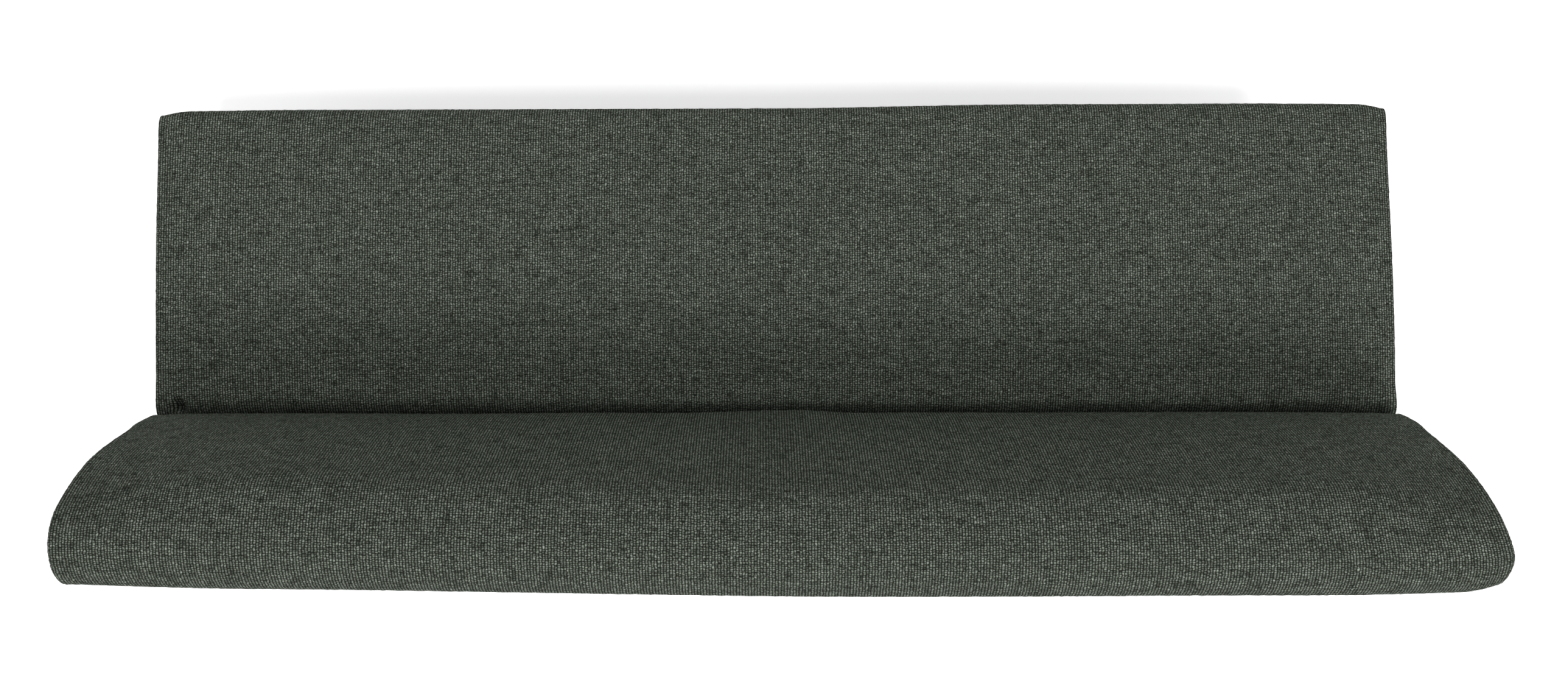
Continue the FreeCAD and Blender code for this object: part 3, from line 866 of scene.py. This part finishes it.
def back_section(back, cushions, seat_top, parting, counts):
    """Gives the backrest's ring of points for a draw between 0 and 1."""
    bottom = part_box(BACK_PANELS[0])[0].z
    corner = cushions.bottom_edge
    eighth = math.radians(45.0)
    half_turn = math.radians(180.0)
    start = corner * (1.0 - math.cos(eighth))
    path = Outline(parting + back.parting_gap + start, bottom + start, -eighth)
    path.arc(corner, eighth)
    path.line(seat_top - back.tuck_depth - bottom - corner)
    path.arc(back.tuck_radius, -back.tuck_lean)
    path.arc(back.bulge_radius, back.tuck_lean + back.front_lean)
    path.arc(back.front_radius, back.front_turn)
    path.arc(back.shoulder_radius, back.shoulder_turn)
    over = half_turn + back.back_lean - path.heading
    # The rolled top's outer sixths belong to the front and the rear.
    path.arc(back.top_roll, over / 6.0)
    path.next_side()
    path.arc(back.top_roll, over * 2.0 / 3.0)
    path.next_side()
    path.arc(back.top_roll, over / 6.0)
    drop = path.here[1] - bottom - corner * (1.0 - math.sin(back.back_lean))
    path.line(drop / math.cos(back.back_lean))
    turn_under = 2.0 * eighth - back.back_lean
    path.arc(corner, turn_under / 2.0)
    path.next_side()
    path.arc(corner, turn_under / 2.0)
    path.line(path.here[0] - parting - back.parting_gap - corner)
    path.arc(corner, eighth)
    level = path.ring(counts)
    inward = -ring_normals(level)
    drawn = np.where(level[:, 0] > parting + corner, back.end_draw, 0.0)

    def section(draw):
        return level + inward * (drawn * draw)[:, None]

    return section


# Geometry nodes


def nodes_object(name, mesh, tree, inputs):
    """Runs a geometry nodes tree on a mesh and returns the result as a plain mesh object."""
    made = new_object(name, mesh)
    grow = made.modifiers.new("Grow", "NODES")
    grow.node_group = tree
    for item in tree.interface.items_tree:
        if item.item_type == "SOCKET" and item.in_out == "INPUT" and item.name in inputs:
            grow[item.identifier] = inputs[item.name]
    settled(made)
    made.data.shade_smooth()
    return made


def nodes_tree(name, sockets):
    """A geometry nodes tree with a geometry in and out and the named inputs, and its input node."""
    tree = bpy.data.node_groups.new(name, "GeometryNodeTree")
    tree.interface.new_socket("Geometry", in_out="INPUT", socket_type="NodeSocketGeometry")
    for label, kind in sockets:
        tree.interface.new_socket(label, in_out="INPUT", socket_type=kind)
    tree.interface.new_socket("Geometry", in_out="OUTPUT", socket_type="NodeSocketGeometry")
    return tree, tree.nodes.new("NodeGroupInput").outputs


def finish_tree(tree, instances, material):
    """Makes the instances real and gives them their material."""
    real = add(tree, "GeometryNodeRealizeInstances", {"Geometry": instances})
    painted = add(
        tree, "GeometryNodeSetMaterial", {"Geometry": real.outputs["Geometry"], "Material": material}
    )
    add(tree, "NodeGroupOutput", {"Geometry": painted.outputs["Geometry"]})


def staple_tree():
    """Staples along a path, each a flat wire whose ends dive into the cloth above it."""
    floats = [(label, "NodeSocketFloat") for label in ("Pitch", "Crown", "Wire", "Dive")]
    tree, given = nodes_tree("Staples along an edge", floats + [("Material", "NodeSocketMaterial")])
    path = add(tree, "GeometryNodeMeshToCurve", {"Mesh": given["Geometry"]})
    spaced = add(
        tree,
        "GeometryNodeResampleCurve",
        {"Curve": path.outputs["Curve"], "Length": given["Pitch"]},
        mode="LENGTH",
    )
    size = add(
        tree, "ShaderNodeCombineXYZ", {"X": given["Crown"], "Y": given["Wire"], "Z": given["Wire"]}
    )
    wire = add(
        tree,
        "GeometryNodeMeshCube",
        {"Size": size.outputs["Vector"], "Vertices X": 9, "Vertices Y": 3, "Vertices Z": 2},
    )
    place = add(tree, "GeometryNodeInputPosition").outputs["Position"]
    along = add(tree, "ShaderNodeSeparateXYZ", {"Vector": place}).outputs["X"]
    share = add(tree, "ShaderNodeMath", {0: along, 1: given["Crown"]}, operation="DIVIDE").outputs[0]
    doubled = add(tree, "ShaderNodeMath", {0: share, 1: 2.0}, operation="MULTIPLY").outputs[0]
    far = add(tree, "ShaderNodeMath", {0: doubled}, operation="ABSOLUTE").outputs[0]
    steep = add(tree, "ShaderNodeMath", {0: far, 1: 6.0}, operation="POWER").outputs[0]
    dive = add(tree, "ShaderNodeMath", {0: steep, 1: given["Dive"]}, operation="MULTIPLY").outputs[0]
    offset = add(tree, "ShaderNodeCombineXYZ", {"Z": dive}).outputs["Vector"]
    bent = add(tree, "GeometryNodeSetPosition", {"Geometry": wire.outputs["Mesh"], "Offset": offset})
    tangent = add(tree, "GeometryNodeInputTangent").outputs["Tangent"]
    facing = add(tree, "FunctionNodeAlignRotationToVector", {"Vector": tangent}, axis="X")
    staples = add(
        tree,
        "GeometryNodeInstanceOnPoints",
        {
            "Points": spaced.outputs["Curve"],
            "Instance": bent.outputs["Geometry"],
            "Rotation": facing.outputs["Rotation"],
        },
    )
    finish_tree(tree, staples.outputs["Instances"], given["Material"])
    return tree


def screw_tree():
    """A copy of one screw at each point of a mesh."""
    tree, given = nodes_tree(
        "Screws at points", [("Screw", "NodeSocketObject"), ("Material", "NodeSocketMaterial")]
    )
    screw = add(tree, "GeometryNodeObjectInfo", {"Object": given["Screw"]})
    screws = add(
        tree,
        "GeometryNodeInstanceOnPoints",
        {"Points": given["Geometry"], "Instance": screw.outputs["Geometry"]},
    )
    finish_tree(tree, screws.outputs["Instances"], given["Material"])
    return tree


# Operators


# Distances before an edge at which a settled form begins and is full, in metres. Below 0 is past the edge.
SEAT_TUCK_REAR = (0.05, 0.0)
SEAT_TUCK_END = (0.03, 0.0)
SEAT_HOLLOW_TOP = (0.05, 0.02)
BACK_FILL_REAR = (0.1, 0.03)
BACK_CORNER_REAR = (0.08, 0.02)
SHOULDER_REAR = (0.13, 0.07)
SHOULDER_END = (0.2, 0.0)
WAVE_TOP = (0.0, -0.12)
WAVE_REAR = (-0.03, -0.08)
WAVE_FOOT = (0.03, 0.01)
TUCK_DRAW_END = (0.05, -0.01)

# Lengths of the corners that draw in, and the share of the way to the front at which the seat's begin
SEAT_CORNER_REACH = 0.045
BACK_CORNER_REACH = 0.055
SEAT_CORNER_SHARE = 0.6

# Distances from the middle of the bench at which the front is fullest, and one end begins to fill out
SEAT_FULL_FROM = 0.35
BACK_FILL_FROM = 0.4

# The dimple's distance from the tuck in its own radii, and the shoulder's depth below the top and spread
HOLLOW_AHEAD = 1.4
SHOULDER_DROP, SHOULDER_SPREAD = 0.045, 0.05

# The bow along the top, in shares of its height: a rise between two places along the bench, and a hump
BOW_RISE = 1.75
BOW_SLOPE = (-0.95, 0.2)
BOW_HUMP = (0.3, -0.1, 0.45)

# Waves along the tuck: share of the wave's height, place along the bench and spread, in metres
TUCK_WAVES = ((1.0, -0.016, 0.06), (-0.8, 0.153, 0.08), (-0.7, -0.113, 0.05))
# The slow wave below these: share of the height, turn per metre and turn in the middle
SLOW_WAVE = (0.4, 9.0, 1.0)


def end_radii(on_bottom, across, edge, cushions):
    """The end edge's radius at each point of a ring, just under the bottom edge's own along the bottom."""
    small = cushions.bottom_edge - 1.0 * MM
    radii = np.where(on_bottom, small, edge)
    radii[[0, -1, -across]] = small
    return radii


class BENCH_OT_seat(bpy.types.Operator):
    """Builds the padded seat in its sewn cover"""

    bl_idname = "bench.seat_cushion"
    bl_label = "Seat cushion"

    def execute(self, context):
        scene = context.scene
        seat, cushions = scene.bench_seat, scene.bench_cushions
        low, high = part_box(SEAT_PANELS[0])
        half_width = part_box(SEAT_PANELS[2])[1].x
        depth, rise = high.y - low.y, high.z - low.z
        up, across = round(rise / cushions.quad), round(depth / cushions.quad)
        counts = (up, across, up, across)
        order = np.arange(sum(counts))
        section = seat_section(seat, cushions, counts)
        on_bottom = order >= 2 * up + across
        on_rear = (order > up + across + 1) & ~on_bottom
        radii = end_radii(on_bottom, across, seat.end_edge, cushions)
        # The end edge tightens over a few points, at the tuck and down the front.
        blend = 3
        at_tuck = smoothstep(order, up + across - blend, up + across)
        radii -= np.maximum(radii - seat.tuck_edge, 0.0) * at_tuck
        down_front = 1.0 - smoothstep(order, up, up + blend)
        radii -= np.maximum(radii - seat.front_edge, 0.0) * down_front
        rings = cushion_rings(section, half_width, radii, cushions)
        free = np.where(on_bottom | on_rear, 0.0, 1.0)
        free[0] = 0.0

        def settle(points):
            """Skews and fills the front, shapes the ends, and dimples the cloth at one end of the tuck."""
            x, y, z = points.T
            moved = points.copy()
            half_way = 0.5 * half_width
            ahead = smoothstep(-y, -high.y, -low.y)
            fuller = 0.5 + 0.5 * smoothstep(-x, 0.0, SEAT_FULL_FROM)
            moved[:, 1] += seat.front_skew / 2.0 * ahead * x / half_width
            moved[:, 1] -= seat.front_fullness * ahead * fuller
            moved[:, 0] += seat.end_taper * ahead * smoothstep(-x, half_way, half_width)
            moved[:, 0] += seat.end_fullness * smoothstep(x, half_way, half_width)
            corner = rounding(np.abs(x), half_width, SEAT_CORNER_REACH)
            moved[:, 1] += seat.corner_draw * corner * smoothstep(ahead, SEAT_CORNER_SHARE, 1.0)
            behind = before(y, high.y, SEAT_TUCK_REAR)
            outer = before(-x, half_width, SEAT_TUCK_END)
            moved[:, 0] -= seat.tuck_fullness * behind * outer
            hollow_middle = high.y - HOLLOW_AHEAD * seat.hollow_size
            away = np.hypot(x - seat.hollow_place, y - hollow_middle)
            on_top = before(z, high.z, SEAT_HOLLOW_TOP)
            moved[:, 2] -= seat.hollow_depth * on_top * hump(away, 0.0, seat.hollow_size)
            return moved

        cushion = cushion_mesh("seat_cushion", rings, counts, bench_cloth(scene))
        upholster(cushion, rings, free, settle, cushions)
        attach(cushion, BODY)
        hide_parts(*SEAT_PANELS, *SEAT_FILLING)
        return {"FINISHED"}


class BENCH_OT_back(bpy.types.Operator):
    """Builds the padded backrest in its sewn cover"""

    bl_idname = "bench.back_cushion"
    bl_label = "Back cushion"

    def execute(self, context):
        scene = context.scene
        back, cushions = scene.bench_back, scene.bench_cushions
        seat_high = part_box(SEAT_PANELS[0])[1]
        low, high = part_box(BACK_PANELS[0])
        half_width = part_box(BACK_PANELS[2])[1].x
        up, across = round((high.z - low.z) / cushions.quad), round((high.y - low.y) / cushions.quad)
        counts = (up, across, up, across)
        order = np.arange(sum(counts))
        parting = seat_high.y + scene.bench_seat.rear_reach
        section = back_section(back, cushions, seat_high.z, parting, counts)
        ring = section(0.0)
        on_bottom = order >= 2 * up + across
        on_tuck = (order < up) & (ring[:, 1] < seat_high.z - back.tuck_depth)
        radii = end_radii(on_bottom, across, cushions.end_edge, cushions)
        tight_rise = 3.0 * back.bulge_radius
        low_front = 1.0 - smoothstep(ring[:, 1], seat_high.z, seat_high.z + tight_rise)
        low_front[up:] = 0.0
        radii -= np.maximum(radii - back.tuck_edge, 0.0) * low_front
        # The end edge softens along the top towards the rear, and tightens again down the rear.
        soft_from, soft_full = 0.3, 0.9
        hold, fade = 2, 12
        top_rear = smoothstep(order, up + soft_from * across, up + soft_full * across)
        top_rear *= 1.0 - smoothstep(order, up + across + hold, up + across + fade)
        radii = radii + (cushions.soft_end_edge - cushions.end_edge) * top_rear
        rings = cushion_rings(section, half_width, radii, cushions)
        free = np.where(on_bottom | on_tuck, 0.0, 1.0)

        def settle(points):
            """Bows the top, fills and draws in its corner and shoulder, and waves the front at the tuck."""
            x, y, z = points.T
            moved = points.copy()
            raised = smoothstep(z, seat_high.z, high.z - back.top_roll)
            bow = BOW_RISE * smoothstep(-x, *BOW_SLOPE) - 1.0
            height, middle, spread = BOW_HUMP
            bow += height * hump(x, middle, spread)
            moved[:, 1] += back.top_bow * raised * bow
            fill = back.end_fullness * raised * before(y, high.y, BACK_FILL_REAR)
            fill -= back.end_flat * raised
            moved[:, 0] -= fill * smoothstep(-x, BACK_FILL_FROM, half_width)
            corner = rounding(-x, half_width, BACK_CORNER_REACH)
            corner *= before(y, high.y, BACK_CORNER_REAR)
            moved[:, 1] -= back.corner_draw * raised * corner
            shoulder = hump(z, high.z - SHOULDER_DROP, SHOULDER_SPREAD)
            shoulder *= 1.0 - before(y, high.y, SHOULDER_REAR)
            shoulder *= 1.0 - before(np.abs(x), half_width, SHOULDER_END)
            moved[:, 1] -= back.shoulder_fullness * shoulder
            moved[:, 2] += back.shoulder_fullness * shoulder
            near = 1.0 - before(z, seat_high.z, WAVE_TOP)
            near *= 1.0 - before(y, seat_high.y, WAVE_REAR)
            near *= before(z, seat_high.z, WAVE_FOOT)
            height, pace, start = SLOW_WAVE
            wave = height * np.sin(pace * x + start)
            for height, middle, spread in TUCK_WAVES:
                wave += height * hump(x, middle, spread)
            moved[:, 1] -= back.tuck_wave * near * wave
            outer = before(np.abs(x), half_width, TUCK_DRAW_END)
            moved[:, 1] += back.tuck_draw * near * outer
            return moved

        cushion = cushion_mesh("back_cushion", rings, counts, bench_cloth(scene))
        upholster(cushion, rings, free, settle, cushions)
        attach(cushion, BODY)
        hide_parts(*BACK_PANELS, *BACK_FILLING)
        return {"FINISHED"}


def bench_cloth(scene):
    """The one cloth that both cushions are covered in."""
    made = bpy.data.materials.get("Basket weave of mixed wool yarn")
    return made or upholstery_cloth(scene.bench_cloth)


class BENCH_OT_dust_cover(bpy.types.Operator):
    """Stretches the dust cover under the bench"""

    bl_idname = "bench.dust_cover"
    bl_label = "Dust cover"

    def execute(self, context):
        under = context.scene.bench_underside
        low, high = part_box("dust_cover")
        size = high - low
        columns, rows = round(size.x / under.quad), round(size.y / under.quad)
        x, y = np.meshgrid(np.linspace(low.x, high.x, columns + 1), np.linspace(low.y, high.y, rows + 1))
        edge = np.minimum(np.minimum(x - low.x, high.x - x), np.minimum(y - low.y, high.y - y))
        spans = ("base_left_end_rail", "base_left_cross_rail", "base_right_cross_rail", "base_right_end_rail")
        middles = np.array([sum(box.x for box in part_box(name)) / 2.0 for name in spans])
        nearest = np.abs(x[..., None] - middles).min(axis=-1)
        # The cover lies flat by its edge, the rails and the leg plates, and sags fully away from them.
        by_edge, by_rail, by_plate = 0.05, 0.02, 0.01
        full_sag, past_plate, ripple_reach = 0.25, 0.1, 0.03
        sag = under.sag * smoothstep(edge, by_edge, full_sag) * smoothstep(nearest, by_rail, full_sag)
        for name in LEG_NAMES:
            plate_low, plate_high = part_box("leg_plate_" + name)
            off = np.maximum(np.maximum(plate_low.x - x, x - plate_high.x), 0.0)
            off = np.hypot(off, np.maximum(np.maximum(plate_low.y - y, y - plate_high.y), 0.0))
            sag *= smoothstep(off, by_plate, past_plate)
        beside = np.where(np.minimum(x - low.x, high.x - x) < np.minimum(y - low.y, high.y - y), y, x)
        ripple = np.abs(np.sin(math.pi * beside / under.staple_pitch))
        ripple = under.pucker * ripple * (1.0 - smoothstep(edge, 0.0, ripple_reach))
        z = (low.z + high.z) / 2.0 - sag - ripple
        points = np.stack((x, y, z), axis=-1).reshape(-1, 3)
        index = np.arange((rows + 1) * (columns + 1)).reshape(rows + 1, columns + 1)
        faces = [
            (int(index[j, i]), int(index[j + 1, i]), int(index[j + 1, i + 1]), int(index[j, i + 1]))
            for j in range(rows)
            for i in range(columns)
        ]
        sheet = mesh_object("dust_cover_cloth", points, faces, dust_cloth(under))
        thick = sheet.modifiers.new("Thickness", "SOLIDIFY")
        thick.thickness = size.z
        thick.offset = 0.0
        settled(sheet)
        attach(sheet, BODY)
        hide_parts("dust_cover")
        return {"FINISHED"}


class BENCH_OT_staples(bpy.types.Operator):
    """Staples the dust cover to the frame"""

    bl_idname = "bench.staples"
    bl_label = "Staples"

    def execute(self, context):
        under = context.scene.bench_underside
        low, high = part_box("dust_cover")
        margin = under.staple_margin
        z = low.z - under.staple_wire / 2.0
        corners = [
            (low.x + margin, low.y + margin, z),
            (high.x - margin, low.y + margin, z),
            (high.x - margin, high.y - margin, z),
            (low.x + margin, high.y - margin, z),
        ]
        path = bpy.data.meshes.new("staple_path")
        path.from_pydata(corners, [(0, 1), (1, 2), (2, 3), (3, 0)], [])
        steel = bright_steel("Galvanised staple wire", "#8E9094", "#B9BBBE", 1.5 * MM)
        inputs = {
            "Pitch": under.staple_pitch,
            "Crown": under.staple_crown,
            "Wire": under.staple_wire,
            "Dive": 1.5 * under.staple_wire,
            "Material": steel,
        }
        staples = nodes_object("dust_cover_staples", path, staple_tree(), inputs)
        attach(staples, BODY)
        return {"FINISHED"}


class BENCH_OT_legs(bpy.types.Operator):
    """Finishes the legs, plates and glides, and welds the legs to their plates"""

    bl_idname = "bench.legs"
    bl_label = "Legs"

    def execute(self, context):
        legs = context.scene.bench_legs
        steel, plastic = powder_coat(legs), glide_plastic(legs)
        paint("leg_glides", plastic)
        for name in LEG_NAMES:
            paint("leg_" + name, steel)
            paint("leg_plate_" + name, steel)
            bead = weld_bead(name, legs.weld, steel)
            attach(bead, BODY)
        return {"FINISHED"}


def paint(node, material):
    """Gives a CAD node its finish."""
    mesh = frame["nodes"][node].data
    mesh.materials.clear()
    mesh.materials.append(material)


def leg_axis(name):
    """Centre of a leg's top and foot, and its radius."""
    points = coordinates(frame["nodes"]["leg_" + name].data)
    top = points[points[:, 2] > points[:, 2].max() - MM]
    foot = points[points[:, 2] < points[:, 2].min() + MM]
    radius = (top[:, 0].max() - top[:, 0].min()) / 2.0
    return (top.min(0) + top.max(0)) / 2.0, (foot.min(0) + foot.max(0)) / 2.0, radius


def weld_bead(name, size, material, turns=72, around=10, ripples=26):
    """A rippled bead in the corner between a leg and its plate."""
    top, foot, radius = leg_axis(name)
    axis = (foot - top) / np.linalg.norm(foot - top)
    throat, ripple_height, sink = 0.45 * size, 0.1, 0.6
    points = []
    for k in range(turns):
        turn = 2.0 * math.pi * k / turns
        out = np.array((math.cos(turn), math.sin(turn), 0.0))
        swell = throat * (1.0 + ripple_height * abs(math.sin(ripples * turn / 2.0)))
        for j in range(around):
            lean = 2.0 * math.pi * j / around
            off = radius + swell * math.cos(lean)
            down = swell * (math.sin(lean) + sink)
            place = top + out * off + axis * max(down, 0.0)
            place[2] = min(place[2], top[2])
            points.append(place)
    faces = []
    for k in range(turns):
        after = (k + 1) % turns
        for j in range(around):
            up = (j + 1) % around
            faces.append((k * around + j, after * around + j, after * around + up, k * around + up))
    return mesh_object("leg_weld_" + name, points, faces, material)


class BENCH_OT_screws(bpy.types.Operator):
    """Screws the leg plates to the frame"""

    bl_idname = "bench.leg_screws"
    bl_label = "Leg screws"

    def execute(self, context):
        legs = context.scene.bench_legs
        places = []
        for name in LEG_NAMES:
            low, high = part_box("leg_plate_" + name)
            for x in (low.x + legs.screw_inset, high.x - legs.screw_inset):
                for y in (low.y + legs.screw_inset, high.y - legs.screw_inset):
                    places.append((x, y, low.z))
        mesh = bpy.data.meshes.new("screw_places")
        mesh.from_pydata(places, [], [])
        steel = bright_steel("Blackened screw steel", "#2B2C2E", "#4A4C4F", 2.5 * MM)
        pattern = button_head(legs, steel)
        screws = nodes_object("leg_screws", mesh, screw_tree(), {"Screw": pattern, "Material": steel})
        bpy.data.objects.remove(pattern)
        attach(screws, BODY)
        return {"FINISHED"}


def button_head(legs, material, segments=24):
    """A domed screw head that points down, with a six-sided socket."""
    radius, rise = legs.screw_head, legs.screw_rise
    socket = 0.38 * radius
    # The dome's rings as shares of its radius and rise, then how far down the socket's rim and floor are.
    dome = [(1.0, 0.0), (1.0, 0.25), (0.9, 0.62), (0.72, 0.86), (0.52, 0.98), (0.44, 1.0)]
    hexagon = (0.97, 0.35)
    sixth = math.pi / 3.0
    points = []
    for share, drop in dome:
        for k in range(segments):
            turn = 2.0 * math.pi * k / segments
            points.append((share * radius * math.cos(turn), share * radius * math.sin(turn), -drop * rise))
    for drop in hexagon:
        for k in range(segments):
            turn = 2.0 * math.pi * k / segments
            from_flat = (turn + sixth / 2.0) % sixth - sixth / 2.0
            flat = socket * math.cos(sixth / 2.0) / math.cos(from_flat)
            points.append((flat * math.cos(turn), flat * math.sin(turn), -drop * rise))
    rows = len(dome) + len(hexagon)
    faces = []
    for row in range(rows - 1):
        for k in range(segments):
            after = (k + 1) % segments
            here, there = row * segments, (row + 1) * segments
            faces.append((here + k, here + after, there + after, there + k))
    faces.append(tuple(range((rows - 1) * segments, rows * segments)))
    faces.append(tuple(reversed(range(segments))))
    return mesh_object("screw_pattern", points, faces, material)


class BENCH_OT_inner_frame(bpy.types.Operator):
    """Finishes the timber, board and webbing inside"""

    bl_idname = "bench.inner_frame"
    bl_label = "Inner frame"

    def execute(self, context):
        finishes = {"frame_timber": frame_timber(), "hardboard": hardboard(), "webbing": webbing()}
        for row in frame["record"]["subparts"]:
            if row["material_slot"] in finishes:
                paint(row["node"], finishes[row["material_slot"]])
        return {"FINISHED"}


class BENCH_OT_stage(bpy.types.Operator):
    """Sets up the floor, the lights and the camera above the bench"""

    bl_idname = "bench.stage"
    bl_label = "Studio"

    def execute(self, context):
        scene, studio = context.scene, context.scene.bench_studio
        reach = 12.0
        corners = [(-reach, -reach, 0.0), (reach, -reach, 0.0), (reach, reach, 0.0), (-reach, reach, 0.0)]
        mesh_object("studio_floor", corners, [(0, 1, 2, 3)], studio_floor(studio))
        aim = Vector((0.0, 0.0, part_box(SEAT_PANELS[0])[1].z))
        lamps = {
            "key_lamp": (studio.key_place, studio.key_size, studio.key),
            "top_lamp": (studio.top_place, studio.top_size, studio.top),
        }
        for name, (place, size, power) in lamps.items():
            disk = bpy.data.lights.new(name, "AREA")
            disk.shape = "DISK"
            disk.size = size
            disk.energy = power
            lamp = new_object(name, disk)
            lamp.location = place
            lamp.rotation_euler = (aim - Vector(place)).to_track_quat("-Z", "Y").to_euler()
        world = bpy.data.worlds.new("studio_sky")
        world.use_nodes = True
        tree = world.node_tree
        tree.nodes.clear()
        level = add(
            tree,
            "ShaderNodeMapRange",
            {"Value": shown_rays(tree), "To Min": studio.sky, "To Max": 1.0},
        ).outputs["Result"]
        sky = add(tree, "ShaderNodeBackground", {"Color": (1.0, 1.0, 1.0, 1.0), "Strength": level})
        add(tree, "ShaderNodeOutputWorld", {"Surface": sky.outputs["Background"]})
        scene.world = world
        camera = bpy.data.cameras.new("photo_camera")
        camera.sensor_width = 36.0
        camera.lens = studio.lens
        view = new_object("photo_camera", camera)
        view.location = studio.camera_place
        view.rotation_euler = studio.camera_turn
        scene.camera = view
        scene.view_settings.view_transform = "Standard"
        return {"FINISHED"}


SETTINGS = {
    "bench_cushions": CushionSettings,
    "bench_seat": SeatSettings,
    "bench_back": BackSettings,
    "bench_cloth": ClothSettings,
    "bench_underside": UndersideSettings,
    "bench_legs": LegSettings,
    "bench_studio": StudioSettings,
}
OPERATORS = (
    BENCH_OT_seat,
    BENCH_OT_back,
    BENCH_OT_dust_cover,
    BENCH_OT_staples,
    BENCH_OT_legs,
    BENCH_OT_screws,
    BENCH_OT_inner_frame,
    BENCH_OT_stage,
)


class BENCH_PT_panel(bpy.types.Panel):
    """Lists the bench's pieces and their settings"""

    bl_idname = "BENCH_PT_panel"
    bl_label = "Dining bench"
    bl_space_type = "VIEW_3D"
    bl_region_type = "UI"
    bl_category = "Bench"

    def draw(self, context):
        for operator in OPERATORS:
            self.layout.operator(operator.bl_idname)
        for name, group in SETTINGS.items():
            box = self.layout.box()
            box.label(text=group.__doc__)
            for key in group.__annotations__:
                box.prop(getattr(context.scene, name), key)


def register():
    for group in SETTINGS.values():
        bpy.utils.register_class(group)
    for operator in OPERATORS:
        bpy.utils.register_class(operator)
    bpy.utils.register_class(BENCH_PT_panel)
    for name, group in SETTINGS.items():
        setattr(bpy.types.Scene, name, PointerProperty(type=group))


def unregister():
    for name in SETTINGS:
        delattr(bpy.types.Scene, name)
    bpy.utils.unregister_class(BENCH_PT_panel)
    for operator in reversed(OPERATORS):
        bpy.utils.unregister_class(operator)
    for group in reversed(list(SETTINGS.values())):
        bpy.utils.unregister_class(group)


def main():
    register()
    bpy.ops.bench.seat_cushion()
    bpy.ops.bench.back_cushion()
    bpy.ops.bench.dust_cover()
    bpy.ops.bench.staples()
    bpy.ops.bench.legs()
    bpy.ops.bench.leg_screws()
    bpy.ops.bench.inner_frame()
    bpy.ops.bench.stage()


if __name__ == "__main__":
    main()
